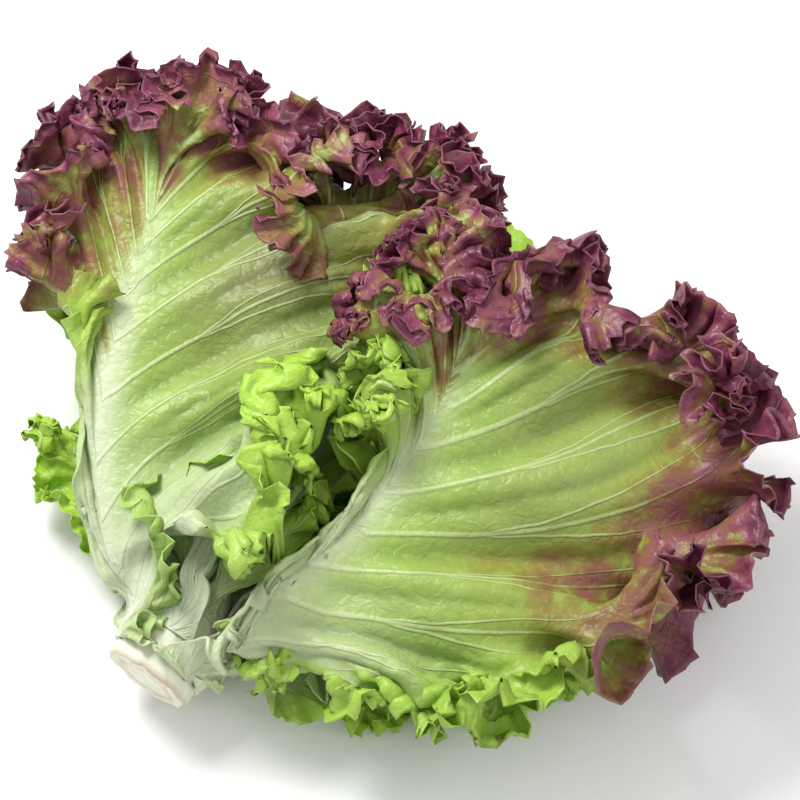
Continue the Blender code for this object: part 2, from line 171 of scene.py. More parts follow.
def smooth_curve(points, count=240):
    """Evenly spaced points of one smooth curve through the given ones."""
    p = np.array(points, float)
    p = np.vstack([2 * p[0] - p[1], p, 2 * p[-1] - p[-2]])
    u = np.linspace(0.0, 1.0, 60, endpoint=False)[:, None]
    spans = []
    for a, b, c, d in zip(p, p[1:], p[2:], p[3:]):
        cubic = 2 * b + (c - a) * u + (2 * a - 5 * b + 4 * c - d) * u**2 + (3 * b - a - 3 * c + d) * u**3
        spans.append(0.5 * cubic)
    line = np.vstack([*spans, p[-2]])
    run = np.concatenate([[0.0], np.cumsum(np.linalg.norm(np.diff(line, axis=0), axis=1))])
    even = np.linspace(0.0, run[-1], count)
    return np.stack([np.interp(even, run, line[:, k]) for k in range(3)], axis=1)


def stem_radius(along):
    """The stem's radius at a distance from its cut face."""
    return np.interp(along, [z for _, z in STEM_PROFILE], [r for r, _ in STEM_PROFILE])


def stem_directions():
    """The stem's axis, and the directions up and left across it."""
    axis = unit(STEM_AXIS)
    up = unit(np.array((0.0, 0.0, 1.0)) - axis[2] * axis)
    return axis, up, np.cross(up, axis)


class Leaf:
    """A leaf's centreline, its frame along that line, and the numbers that shape its blade.

    row and turn place its foot: turn is in degrees round the stem, 0 on top and positive to the left.
    path is the rest of its centreline, widths its half-widths to the left and right of it, necks the shares
    of its length between which each half widens, and out the side that the back of the blade faces.
    """

    def __init__(self, name, row, turn, path, widths, seed, necks=((0.02, 0.4), (0.02, 0.4)), wrap=(20, 20),
                 out=(0, 0, 1), ruffle=0.0030, wave=0.040, curl=12, pleat=0.0016, square=0.75, **looks):
        axis, up, left = stem_directions()
        radial = up * math.cos(math.radians(turn)) + left * math.sin(math.radians(turn))
        start = ROW_STARTS[row]
        foot = CUT_CENTRE + axis * start + radial * (stem_radius(start) + FOOT_GAP)
        ankle = foot + axis * ANKLE_RUN + radial * ANKLE_RISES[row]
        self.name, self.seed = name, seed
        self.widths, self.necks, self.square = widths, necks, square
        self.wrap = [math.radians(w) for w in wrap]
        self.ruffle, self.wave, self.curl, self.pleat = ruffle, wave, math.radians(curl), pleat
        self.rib_thickness = RIB_THICKNESSES[row]
        self.foot_half_width, self.foot_gain = FOOT_HALF_WIDTHS[row], FOOT_GAINS[row]
        self.foot_bend = self.foot_half_width / stem_radius(start)
        self.looks = Looks(**looks)
        self.line = smooth_curve([foot, ankle, *path])
        turned = smooth(0.04, 0.34, np.linspace(0.0, 1.0, len(self.line)))[:, None]
        facing = radial * (1.0 - turned) + unit(out) * turned
        self.tangent = unit(np.gradient(self.line, axis=0))
        across = np.sum(facing * self.tangent, axis=1, keepdims=True) * self.tangent
        self.outward = unit(facing - across)
        self.right = np.cross(self.tangent, self.outward)
        self.samples = np.linspace(-1.0, 1.0, MARGIN_SAMPLES)
        edge = self.bent(self.samples, np.ones(MARGIN_SAMPLES))
        self.runs = np.concatenate([[0.0], np.cumsum(np.linalg.norm(np.diff(edge, axis=0), axis=1))])

    def at(self, values, share):
        """One of the centreline's values at a share of its length."""
        place = np.linspace(0.0, 1.0, len(self.line))
        return np.stack([np.interp(share, place, values[:, k]) for k in range(3)], axis=-1)

    def run(self, around):
        """The length along the margin, from the foot over the left side."""
        return np.interp(around, self.samples, self.runs)

    def flat(self, around, out):
        """Where a place lies in the leaf laid flat: across, and as a share of the length.

        around runs from -1 at the foot over the left margin to 0 at the tip, and on to 1 at the foot again.
        out runs from 0 on the midrib to 1 on the margin, along a vein.
        """
        turn = np.pi * np.abs(around)
        end = (1.0 + np.cos(turn)) / 2.0
        start = MIDRIB_SHARE * end**1.35
        necks = [NECK_FLOOR + (1.0 - NECK_FLOOR) * smooth(*neck, end) for neck in self.necks]
        width = np.where(around < 0, self.widths[0] * necks[0], self.widths[1] * necks[1])
        round_end = np.where(turn < np.pi / 2, np.sin(turn) ** self.square, np.sin(turn))
        swell = round_end * (1.0 + BELLY * np.cos(turn)) / BELLY_SCALE
        across = width * swell + self.foot_half_width * smooth(0.72, 1.0, np.abs(around))
        control = start + VEIN_BEND * (end - start)
        x = 2.0 * out * (1.0 - out) * 0.34 * across + out**2 * across
        y = (1.0 - out) ** 2 * start + 2.0 * out * (1.0 - out) * control + out**2 * end
        return np.sign(around) * x, y

    def fold_phase(self, around):
        """The turn of the folds between the main veins: a vein runs along each crest."""
        return np.abs(around) * math.tau * FOLDS + 0.9 * wander(around * 3.0, self.seed + 7)

    def bent(self, around, out):
        """The blade bent over its centreline, with the folds between its veins."""
        x, y = self.flat(around, out)
        side = np.where(around < 0, 0, 1)
        wrap = np.array(self.wrap)[side] * smooth(0.05, 0.45, y)
        width = np.array(self.widths)[side]
        foot = 1.0 - smooth(0.03, 0.16, y)
        angle = np.abs(x) * (wrap / width * (1.0 - foot) + self.foot_bend / self.foot_half_width * foot)
        across = x * np.sinc(angle / np.pi)
        down = np.abs(x) * angle / 2.0 * np.sinc(angle / math.tau) ** 2
        folds = np.sin(self.fold_phase(around))
        folds = self.pleat * folds * smooth(0.08, 0.5, out) * smooth(0.06, 0.3, y)
        right, outward = self.at(self.right, y), self.at(self.outward, y)
        return self.at(self.line, y) + right * across[..., None] + outward * (folds - down)[..., None]

    def curled(self, around, out):
        """The bent blade with its margin curling outwards."""
        inner = np.minimum(out, CURL_START)
        place, outward, _, away = frame_of(self.bent, around, inner)
        edge = self.bent(around, np.ones_like(out))
        length = np.linalg.norm(edge - self.bent(around, np.full_like(out, CURL_START)), axis=-1)
        uneven = 0.75 + 0.5 * wander(around * 5.0, self.seed + 3)
        strength = np.clip(np.abs(self.curl * smooth(1.0, 0.72, np.abs(around)) * uneven), 0.05, 2.6)
        radius = (np.maximum(length, 1e-5) / strength)[..., None]
        angle = ((out - inner) / (1.0 - CURL_START) * strength)[..., None]
        return place + away * radius * np.sin(angle) + outward * radius * (1.0 - np.cos(angle))

    def swell(self, around, out):
        """The height and phase of the big waves of the margin."""
        reach = np.abs(self.flat(around, np.ones_like(out))[0]) + 0.03 * smooth(0.4, 0.1, np.abs(around))
        height = self.ruffle * smooth(0.42, 1.0, out) ** 1.2 * smooth(0.95, 0.76, np.abs(around))
        height = height * smooth(0.006, 0.034, reach) * (1.0 + 0.3 * wander(around * 7.0, self.seed))
        phase = math.tau * (self.run(around) / self.wave + 0.25 * wander(around * 9.0, self.seed + 1))
        return height, phase + 0.8 * (1.0 - out) * wander(around * 11.0, self.seed + 2)

    def surface(self, around, out):
        """The inner face of the leaf, with the big waves of its margin."""
        around, out = np.broadcast_arrays(np.asarray(around, float), np.asarray(out, float))
        place, outward, along, _ = frame_of(self.curled, around, out)
        height, phase = self.swell(around, out)
        return waved(place, outward, along, height, phase, LEAN)

    def thickness(self, around, out):
        """How thick the leaf is, from its midrib to its blade."""
        x, y = self.flat(around, out)
        rib = np.exp(-((x / (RIB_HALF_WIDTH * (1.0 - 0.75 * y))) ** 2))
        rib = rib * np.clip(1.0 - 1.25 * y, 0.0, 1.0) ** 0.8 * (0.45 + 0.55 * smooth(0.0, 0.1, y))
        return SOLID_BLADE + (self.rib_thickness - SOLID_BLADE) * rib


class Looks:
    """What the fine leaf shows: its stations, the size of its frill, and where it is red, green or pale.

    red gives the stretches of the margin that are red, as pairs of around with a strength each. depth is how
    far in from the margin the red reaches, lime how fresh a green the rest of the frill is, haze how brown
    the blade is, rib how far its main veins stand out, pleats how deep it is creased between them and pale
    how white its ribs are. spill gives the stretches where the margin is wider, and by how much.
    """

    def __init__(self, stations=900, frill=0.7, red=(), depth=0.036, lime=0.0, haze=0.0, rib=PLAIN_RIB,
                 pleats=0.0007, pale=1.0, spill=(), slot="green_leaf"):
        self.stations, self.frill, self.red, self.depth, self.lime = stations, frill, red, depth, lime
        self.haze, self.rib, self.pleats, self.pale, self.spill = haze, rib, pleats, pale, spill
        self.slot = slot


def frame_of(surface, around, out):
    """A surface's place and outward normal, and its directions along the margin and away from the midrib."""
    step = 1e-3
    place = surface(around, out)
    along = unit(surface(np.clip(around + step, -1, 1), out) - surface(np.clip(around - step, -1, 1), out))
    away = unit(surface(around, np.minimum(out + step, 1.0)) - surface(around, np.maximum(out - step, 0.0)))
    return place, unit(np.cross(along, away)), along, away


def waved(place, outward, along, height, phase, lean):
    """Places moved by waves that lean over as they rise."""
    rise = (height * np.sin(phase))[..., None]
    slip = (lean * height * np.sin(2.0 * phase))[..., None]
    return place + outward * rise - along * slip


def spread(field, reach):
    """The highest value within a few squares of each."""
    for _ in range(reach):
        padded = np.pad(field, 1, mode="edge")
        field = np.max([padded[i : i + CELLS, j : j + CELLS] for i in range(3) for j in range(3)], axis=0)
    return field


def average(field):
    """The mean of each square and its neighbours."""
    padded = np.pad(field, 1, mode="edge")
    return np.mean([padded[i : i + CELLS, j : j + CELLS] for i in range(3) for j in range(3)], axis=0)


def under_top(points):
    """The points, with those near the top of the head pressed softly down."""
    above = np.maximum(points[..., 2:] - TOP_START, 0.0)
    low = np.minimum(points[..., 2:], TOP_START) + TOP_ROOM * (1.0 - np.exp(-above / TOP_ROOM))
    return np.concatenate([points[..., :2], low], axis=-1)


def pressed(points, least):
    """The points, with those below a least height raised to it."""
    return np.concatenate([points[..., :2], np.maximum(points[..., 2:], least)], axis=-1)


class Heights:
    """The highest point so far over each small square of the surface that the head lies on."""

    def __init__(self):
        self.top = np.zeros((CELLS, CELLS))

    def cells(self, points):
        """The squares that the points are over."""
        index = ((points[..., :2] - FIELD_CORNER) / CELL).astype(int)
        return np.clip(index[..., 0], 0, CELLS - 1), np.clip(index[..., 1], 0, CELLS - 1)

    def centres(self):
        """The middle of every square."""
        x, y = np.meshgrid(np.arange(CELLS), np.arange(CELLS), indexing="ij")
        return FIELD_CORNER + (np.stack([x, y], axis=-1) + 0.5) * CELL

    def lift_for(self, points):
        """How far a sheet has to rise over each square, spread and averaged into one soft curve."""
        low = np.full_like(self.top, np.inf)
        np.minimum.at(low, self.cells(points), points[..., 2])
        below = spread(self.top, 1)
        need = np.where(np.isfinite(low) & (below > 0.0), below + CLEARANCE - low, 0.0)
        need = spread(np.maximum(need, 0.0), CLEAR_REACH)
        for _ in range(CLEAR_REACH):
            need = average(need)
        away = np.linalg.norm(self.centres() - CUT_CENTRE[:2], axis=-1)
        return need * smooth(SETTLE_NEAR, SETTLE_FAR, away)

    def add(self, points):
        """Takes the points of a settled sheet into account."""
        np.maximum.at(self.top, self.cells(points), points[..., 2])


def lifted(lift, points):
    """The points raised by the lift over them."""
    place = np.clip((points[..., :2] - FIELD_CORNER) / CELL - 0.5, 0, CELLS - 1.001)
    i, j = place[..., 0].astype(int), place[..., 1].astype(int)
    u, v = place[..., 0] - i, place[..., 1] - j
    near = lift[i, j] * (1 - u) + lift[i + 1, j] * u
    far = lift[i, j + 1] * (1 - u) + lift[i + 1, j + 1] * u
    return points + (near * (1 - v) + far * v)[..., None] * np.array((0.0, 0.0, 1.0))


DOWN = (0, 0, -1)
SLIM = (0.05, 0.5)
BARE = (0.4, 0.85)
LEAVES = (
    Leaf("leaf_under_centre", 1, 180,
         ((-0.070, -0.085, 0.008), (-0.040, -0.035, 0.003), (0.000, 0.030, 0.002), (0.030, 0.085, 0.002)),
         widths=(0.062, 0.062), wrap=(6, 6), out=DOWN, ruffle=0.0025, seed=11,
         stations=300, frill=0.3, slot="pale_leaf"),
    Leaf("leaf_under_left", 1, 112,
         ((-0.112, -0.085, 0.010), (-0.112, -0.045, 0.006), (-0.108, 0.010, 0.005), (-0.106, 0.075, 0.006)),
         widths=(0.055, 0.018), wrap=(10, 10), out=(-0.2, 0, -1), ruffle=0.0025, seed=12,
         stations=704, frill=0.6, lime=0.75, spill=((-0.92, -0.15, 0.020),), slot="pale_leaf"),
    Leaf("leaf_under_right", 1, -112,
         ((-0.050, -0.124, 0.010), (0.000, -0.112, 0.006), (0.040, -0.104, 0.005), (0.080, -0.094, 0.006)),
         widths=(0.034, 0.046), necks=((-0.02, 0.24), (0.02, 0.4)), wrap=(10, 10), out=(0, -0.2, -1),
         ruffle=0.0025, seed=13, stations=704, frill=0.6, lime=0.7, slot="pale_leaf"),
    Leaf("leaf_inner_left", 2, 145,
         ((-0.090, -0.080, 0.016), (-0.088, -0.020, 0.014), (-0.080, 0.040, 0.016), (-0.060, 0.108, 0.018)),
         widths=(0.060, 0.048), necks=(SLIM, SLIM), out=DOWN, seed=14,
         stations=350, frill=0.45, lime=0.8),
    Leaf("leaf_inner_right", 2, -145,
         ((-0.056, -0.106, 0.016), (-0.018, -0.066, 0.014), (0.040, -0.020, 0.016), (0.088, 0.020, 0.018)),
         widths=(0.060, 0.056), necks=(SLIM, SLIM), out=DOWN, seed=15,
         stations=350, frill=0.45, lime=0.5, red=((-0.5, 0.5, 0.7),)),
    Leaf("leaf_low_right", 3, -110,
         ((-0.050, -0.105, 0.023), (0.000, -0.096, 0.024), (0.060, -0.084, 0.026), (0.136, -0.060, 0.028)),
         widths=(0.052, 0.040), necks=(SLIM, SLIM), ruffle=0.0045, curl=25, seed=17,
         stations=704, frill=0.65, lime=0.4, red=((-0.35, 0.40, 0.75),), haze=0.3),
    Leaf("leaf_small_left", 3, 134,
         ((-0.084, -0.070, 0.021), (-0.104, -0.046, 0.022), (-0.118, -0.012, 0.024)),
         widths=(0.020, 0.024), ruffle=0.003, curl=25, wave=0.030, seed=16,
         stations=608, frill=0.7, lime=1.0, pale=0.3, spill=((-0.90, -0.10, 0.018),), slot="pale_leaf"),
    Leaf("leaf_left_second", 2, 90,
         ((-0.101, -0.078, 0.032), (-0.112, -0.046, 0.036), (-0.115, -0.008, 0.040), (-0.106, 0.052, 0.044),
          (-0.092, 0.095, 0.046)),
         widths=(0.034, 0.068), necks=((0.35, 0.8), SLIM), wrap=(45, 20), ruffle=0.0045, curl=35, seed=18,
         stations=850, frill=0.6, lime=1.0),
    Leaf("leaf_right_second", 2, -77,
         ((-0.056, -0.118, 0.0320), (0.000, -0.094, 0.037), (0.052, -0.058, 0.042), (0.108, -0.012, 0.044)),
         widths=(0.062, 0.070), necks=(SLIM, (0.02, 0.4)), wrap=(20, 30), ruffle=0.0045, curl=35, seed=19,
         stations=800, frill=0.7, lime=0.35, red=((-0.4, 0.5, 0.8),), haze=0.4),
    Leaf("leaf_heart_centre", 3, 22,
         ((-0.066, -0.078, 0.042), (-0.040, -0.045, 0.044), (-0.010, 0.010, 0.048), (0.010, 0.045, 0.050)),
         widths=(0.034, 0.038), necks=(BARE, SLIM), ruffle=0.0035, curl=20, seed=20,
         stations=704, frill=0.65, lime=0.5),
    Leaf("leaf_heart_left", 3, 86,
         ((-0.086, -0.066, 0.039), (-0.077, -0.034, 0.048)),
         widths=(0.014, 0.016), wave=0.028, ruffle=0.0025, curl=25, seed=23,
         stations=420, frill=0.6, lime=1.0, pale=0.3, slot="pale_leaf"),
    Leaf("leaf_heart_right", 3, -28,
         ((-0.053, -0.084, 0.045), (-0.034, -0.054, 0.050)),
         widths=(0.014, 0.016), wave=0.028, ruffle=0.0025, curl=25, seed=24,
         stations=420, frill=0.6, lime=1.0, pale=0.3, slot="pale_leaf"),
    Leaf("leaf_centre", 2, 0,
         ((-0.079, -0.094, 0.051), (-0.060, -0.062, 0.057), (-0.032, -0.008, 0.064), (-0.008, 0.044, 0.070),
          (0.010, 0.088, 0.072)),
         widths=(0.052, 0.052), necks=(BARE, BARE), wrap=(30, 30), ruffle=0.0060, curl=28, seed=22,
         stations=1700, frill=0.9, lime=0.3, red=((-0.44, 0.45, 1.0),), depth=0.045, haze=0.9,
         slot="red_tipped_leaf"),
    Leaf("leaf_left_outer", 1, 60,
         ((-0.114, -0.087, 0.048), (-0.118, -0.050, 0.060), (-0.112, -0.009, 0.070), (-0.094, 0.055, 0.078),
          (-0.074, 0.108, 0.078)),
         widths=(0.072, 0.104), necks=((0.4, 0.9), (-0.02, 0.22)), wrap=(30, 15), ruffle=0.008, wave=0.044,
         curl=45, pleat=0.0045, seed=21, square=0.95,
         stations=2720, frill=1.0, lime=1.0, red=((-0.42, 0.20, 1.0), (0.18, 0.38, 0.55)), depth=0.074,
         spill=((-0.46, -0.08, -0.008), (0.02, 0.26, 0.008), (0.20, 0.88, 0.034)), haze=1.0,
         pleats=0.0016, slot="red_tipped_leaf"),
    Leaf("leaf_right_outer", 1, -55,
         ((-0.066, -0.129, 0.0485), (-0.048, -0.1125, 0.0565), (-0.010, -0.076, 0.068),
          (0.015, -0.040, 0.078), (0.027, 0.000, 0.084), (0.038, 0.040, 0.084)),
         widths=(0.052, 0.140), necks=((0.45, 0.9), (0.02, 0.34)), wrap=(40, 28), ruffle=0.008, wave=0.046,
         curl=45, pleat=0.0062, seed=25, square=1.0,
         stations=2720, frill=1.0, lime=0.9, red=((-0.26, 0.48, 1.0),), depth=0.078,
         spill=((-0.40, -0.16, -0.014), (0.46, 0.88, -0.017)), haze=0.6, rib=0.0030, pleats=0.0042, pale=0.7,
         slot="red_tipped_leaf"),
)


def settle(leaves):
    """Each leaf's lift, from the lowest leaf to the highest, and the underside of those above it."""
    heights, lifts, undersides = Heights(), {}, {}
    stations, rows = np.linspace(-1, 1, SETTLE_STATIONS), np.linspace(0, 1, SETTLE_ROWS)
    around, out = np.meshgrid(stations, rows, indexing="ij")
    for leaf in leaves:
        sheet, outward, _, _ = frame_of(leaf.surface, around, out)
        back = sheet + outward * leaf.thickness(around, out)[..., None]
        both = np.stack([sheet, back])
        lifts[leaf.name] = heights.lift_for(both)
        both = lifted(lifts[leaf.name], both)
        heights.add(pressed(both, FLOOR_PRESS))
        underside = np.full((CELLS, CELLS), np.inf)
        inner = both[:, :, out[0] < COVER_OUT]
        np.minimum.at(underside, heights.cells(inner), inner[..., 2])
        undersides[leaf.name] = underside
    ceilings, ceiling = {}, np.full((CELLS, CELLS), np.inf)
    for leaf in reversed(leaves):
        ceilings[leaf.name] = -spread(-ceiling, 1)
        ceiling = np.minimum(ceiling, undersides[leaf.name])
    return lifts, ceilings


def kept_under(ceiling, points, room):
    """The points, with those that would come through a leaf above pressed down under it."""
    place = np.clip(((points[..., :2] - FIELD_CORNER) / CELL).astype(int), 0, CELLS - 1)
    away = np.linalg.norm(points[..., :2] - CUT_CENTRE[:2], axis=-1)
    top = np.where(away > COVER_NEAR, ceiling[place[..., 0], place[..., 1]] - room, np.inf)
    return np.concatenate([points[..., :2], np.minimum(points[..., 2:], top[..., None])], axis=-1)


def head_offset():
    """How far the head was moved when it was centred, from the stem's solid and its drawn profile."""
    axis, up, left = stem_directions()
    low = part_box("stem")[0]
    round_stem = np.linspace(0.0, math.tau, 28, endpoint=False)[:, None]
    rings = [CUT_CENTRE + axis * z + r * (left * np.cos(round_stem) + up * np.sin(round_stem))
             for r, z in STEM_PROFILE]
    return np.array(low) - np.min(np.vstack(rings), axis=0)


def grid_frame(place):
    """The directions of a grid of places: along the margin, away from the midrib, and outward."""
    along, away = unit(np.gradient(place, axis=0)), unit(np.gradient(place, axis=1))
    return along, away, unit(np.cross(along, away))


def evened(leaf, grid, length):
    """The grid's places, each the mean of those up to a length of flat margin before and after it, twice."""
    reach = max(1, round(length * (len(grid) - 1) / leaf.runs[-1]))
    for _ in range(2):
        padded = np.pad(grid, ((reach, reach), (0, 0), (0, 0)), mode="reflect", reflect_type="odd")
        total = np.concatenate([np.zeros_like(padded[:1]), np.cumsum(padded, axis=0)])
        grid = (total[2 * reach + 1 :] - total[: -2 * reach - 1]) / (2 * reach + 1)
    return grid


def margin_run(place):
    """The length along the margin at each station."""
    steps = np.linalg.norm(np.diff(place[:, -1], axis=0), axis=-1)
    return np.concatenate([[0.0], np.cumsum(steps)])


def margin_distance(place):
    """How far each place is from the margin, along its vein."""
    steps = np.linalg.norm(np.diff(place, axis=1), axis=-1)
    run = np.concatenate([np.zeros((len(place), 1)), np.cumsum(steps, axis=1)], axis=1)
    return run[:, -1:] - run


def turned(place, angle):
    """The grid with each row's step turned outward by an angle, so that the margin folds over."""
    along, _, _ = grid_frame(place)
    step = np.diff(place, axis=1)
    axis = unit(along[:, 1:] + along[:, :-1])
    theta = ((angle[:, 1:] + angle[:, :-1]) / 2.0)[..., None]
    swung = step * np.cos(theta) + np.cross(axis, step) * np.sin(theta)
    swung = swung + axis * np.sum(axis * step, axis=-1, keepdims=True) * (1.0 - np.cos(theta))
    return np.concatenate([place[:, :1], place[:, :1] + np.cumsum(swung, axis=1)], axis=1)


def leaf_rows():
    """The rows from the midrib to the margin, and the share of the stations that each keeps."""
    rows, keeps = [], []
    for start, end, count, keep in ROW_GROUPS:
        rows.extend(np.linspace(start, end, count))
        keeps.extend([keep] * count)
    return np.array(rows), keeps


def veined(leaf, place, around, out, s):
    """The ridges of the veins, the blade's creases between them with their deeper green and painted shade,
    and where the veins and their branches run.
    """
    gap = np.linalg.norm(np.gradient(place, axis=0), axis=-1) / (around[1, 0] - around[0, 0]) / (2.0 * FOLDS)
    count = 2.0 * (leaf.fold_phase(around) / math.tau - 0.25) + VEIN_SWEEP * out**1.3
    off = np.abs(count - np.round(count))
    width = s.vein_width * (1.35 - 0.95 * out) * (leaf.looks.rib / PLAIN_RIB) ** 0.4
    ridge = np.exp(-((off * gap / (1.6 * width)) ** 2)) * (1.0 - smooth(0.60, 0.95, out))
    crest = np.cos(math.pi * off) ** 0.6
    # The creases between the veins take a deeper green: partly the blade's own colour and partly painted
    # shade
    values = {"vein_count": count, "vein_pace": gap / width * (1.0 + 3.0 * smooth(0.70, 1.0, out)),
              "furrow_green_and_shade": (1.0 - crest) ** 1.4 * smooth(0.04, 0.2, out) * smooth(0.95, 0.6, out)}
    for number, (start, reach) in enumerate(BRANCHES):
        wave = 0.02 * wander(out * 9.0, leaf.seed + 30 + number)
        values[f"branch_{number}"] = reach * smooth(start, 1.1, out) ** 0.8 + wave
        values[f"absent_{number}"] = 4.0 * (1.0 - smooth(start, start + 0.1, out))
    return ridge, crest, values


def frilled(leaf, place, run, s, ends):
    """The margin with lobes on its waves, a fine crimp on the lobes, and teeth along its edge."""
    frill = leaf.looks.frill
    for number, (length, height, band, lean, angle) in enumerate((
        (s.lobe_length, s.lobe_height, s.lobe_band, 0.30, s.lobe_angle),
        (s.curl_length, s.curl_height, s.curl_band, 0.34, 1.2 * s.lobe_angle),
        (s.crimp_length, s.crimp_height, s.crimp_band, 0.30, 0.0),
    )):
        seed = leaf.seed + 41 + 10 * number
        place = evened(leaf, place, s.evening / (2 + 3 * number))
        far = margin_distance(place)
        size = frill * (1.0 + 0.45 * wander(run / length * 1.1, seed))
        phase = math.tau * run / length + 1.5 * wander(run / length * 0.55, seed + 1)
        phase = phase + 0.9 * smooth(0.0, 0.03, far) * wander(run / 0.02, seed + 2)
        reach = smooth(band * frill, 0.0, far) * ends
        along, _, outward = grid_frame(place)
        place = waved(place, outward, along, height * size * reach, phase, lean)
        if angle:
            place = turned(place, angle * size * np.sin(phase + 0.7) * reach)
        run = margin_run(place)[:, None]
    far = margin_distance(place)
    away = grid_frame(place)[1]
    teeth = run / s.tooth_length + 0.45 * wander(run / s.tooth_length * 0.7, leaf.seed + 61)
    chance = np.random.default_rng(leaf.seed + 62).random(TOOTH_DRAWS)
    tall = chance[np.floor(teeth).astype(int) % TOOTH_DRAWS]
    point = np.clip(1.0 - np.abs(teeth % 1.0 - 0.5) / 0.42, 0.0, 1.0) ** 1.3 * (0.30 + 1.1 * tall**1.7)
    return place + away * (s.tooth_height * frill**0.5 * point * smooth(0.004, 0.0, far) * ends)[..., None]


def fine_leaf(leaf, lift, ceiling, s):
    """The places of a fine leaf on a grid, and the values on it that its colours come from."""
    rows, _ = leaf_rows()
    frill = leaf.looks.frill
    places = np.linspace(-1, 1, leaf.looks.stations * GRID_STATIONS + 1)
    around, out = np.meshgrid(places, rows, indexing="ij")
    place = evened(leaf, leaf.curled(around, out), s.evening)
    x, y = leaf.flat(around, out)
    share = np.abs(leaf.flat(around, np.ones_like(out))[0]) + 0.03 * smooth(0.4, 0.1, np.abs(around))
    ends = smooth(0.985, 0.88, np.abs(around)) * smooth(0.011, 0.030, share)
    ridge, crest, vein_values = veined(leaf, place, around, out, s)
    ridge = leaf.looks.rib * (1.35 - out) * ridge * smooth(0.02, 0.12, out) * smooth(0.05, 0.2, y)

    # The blade bulges a little between its veins
    quilt = np.sin(x * 420.0 + 2.0 * wander(y * 12.0, leaf.seed + 31))
    quilt = quilt * np.sin(y * 95.0 + 1.5 * wander(x * 90.0, leaf.seed + 32))
    quilt = s.quilt_height * quilt * smooth(0.10, 0.4, out)
    creased = leaf.looks.pleats * (crest - 0.6) * smooth(0.06, 0.25, out) * smooth(1.0, 0.7, out)
    quilt = (quilt + creased * smooth(0.04, 0.16, y)) * smooth(0.985, 0.90, np.abs(around))

    # The big waves of the margin, as in the solid, which fold back where they rise
    height, phase = leaf.swell(around, out)
    along, _, outward = grid_frame(place)
    place = waved(place + outward * quilt[..., None], outward, along, height * s.wave_gain, phase, LEAN)
    flat = np.zeros_like(out)
    for start, end, wider in leaf.looks.spill:
        stretch = smooth(start, start + 0.1, around) * smooth(end, end - 0.15, around)
        place = place + grid_frame(place)[1] * (wider * stretch * smooth(0.45, 1.0, out))[..., None]
        flat = flat + stretch * np.clip(wider / FLAT_SPILL, 0.0, 1.0)
    far = margin_distance(place)
    uneven = 1.0 + 0.4 * wander(around * 8.0, leaf.seed + 35)
    lean = s.fold_lean + s.fold_angle * uneven * np.sin(phase - 0.5)
    place = turned(place, frill * lean * (1.0 - 0.7 * flat) * smooth(s.fold_band * frill, 0.0, far) * ends)
    place = frilled(leaf, place, leaf.run(around), s, ends)

    thick = leaf.thickness(around, out) - SOLID_BLADE + s.blade_thickness + np.maximum(ridge, 0.0)
    rib = np.exp(-((x / (1.3 * RIB_HALF_WIDTH * (1.1 - 0.8 * y))) ** 2)) * smooth(0.95, 0.4, y)
    values = {"far": margin_distance(place), "rib": rib, "ends": ends, "x": x, "y": y, "around": around,
              "veins": vein_values}
    place = lifted(lift, place)
    return kept_under(ceiling, place, COVER_ROOM + thick), thick, values


def leaf_colour_values(leaf, values):
    """How red, fresh green, hazy and pale each place of a leaf is, between 0 and 1."""
    around, far, x, y = values["around"], values["far"], values["x"], values["y"]
    looks, ends = leaf.looks, values["ends"]
    blotch = 0.5 + 0.5 * wander(around * 9.0, leaf.seed + 71)
    red = np.zeros_like(far)
    for start, end, strength in looks.red:
        stretch = smooth(start - 0.06, start + 0.06, around) * smooth(end + 0.06, end - 0.05, around)
        deep = looks.depth * (0.7 + 0.6 * blotch)
        edge = 0.45 * smooth(deep * 1.2, deep * 0.35, far) + 0.55 * smooth(0.016, 0.001, far)
        red = np.maximum(red, strength * stretch * edge)
    lime = looks.lime * smooth(0.060, 0.012, far) * smooth(0.25, 0.0, red)
    lime = lime * (0.65 + 0.35 * blotch) * ends**0.5
    haze = looks.haze * smooth(0.32, 0.72, y) * smooth(0.0, 0.05, np.abs(x)) * (0.55 + 0.45 * blotch)
    pale = smooth(0.44, 0.02, y) * 0.80 * smooth(0.55, 0.1, lime) + 0.2 * smooth(0.22, 0.0, y)
    pale = np.clip(np.maximum(pale * (0.6 + 0.4 * looks.pale), 0.85 * looks.pale * values["rib"]), 0.0, 1.0)
    # A paler rim along the teeth: partly the margin's own paler edge and partly a painted highlight
    edge = smooth(0.0022, 0.0, far) * ends
    return {"red": red, "lime": lime, "haze": haze, "pale": pale, "edge": edge, **values["veins"]}


def kept_stations(place, stations):
    """The stations to keep: alike on both sides of the midrib, and closer where the margin is long."""
    run = margin_run(place)
    tip = len(run) // 2
    left, right = run[tip] - run[tip::-1], run[tip:] - run[tip]
    even = np.linspace(0.0, 1.0, tip + 1)
    weight = 0.4 * (left / left[-1] + right / right[-1]) + 0.2 * even
    half = np.searchsorted(weight, np.linspace(0.0, weight[-1], stations // 16 * 8 + 1))
    half = np.maximum.accumulate(np.clip(half, 0, tip))
    return np.concatenate([tip - half[:0:-1], tip + half])


def sheet_faces(counts):
    """Faces between the rows of a sheet, each with as many stations as the one before, or twice as many."""
    starts = np.concatenate([[0], np.cumsum(counts)])
    faces = []
    for row in range(len(counts) - 1):
        low, high = starts[row], starts[row + 1]
        if counts[row] == counts[row + 1]:
            faces += [(low + i, high + i, high + i + 1, low + i + 1) for i in range(counts[row] - 1)]
        else:
            for i in range(counts[row] - 1):
                a, b, c, d, e = low + i, high + 2 * i, high + 2 * i + 1, high + 2 * i + 2, low + i + 1
                faces += [(a, b, c), (a, c, e), (c, d, e)]
    return faces


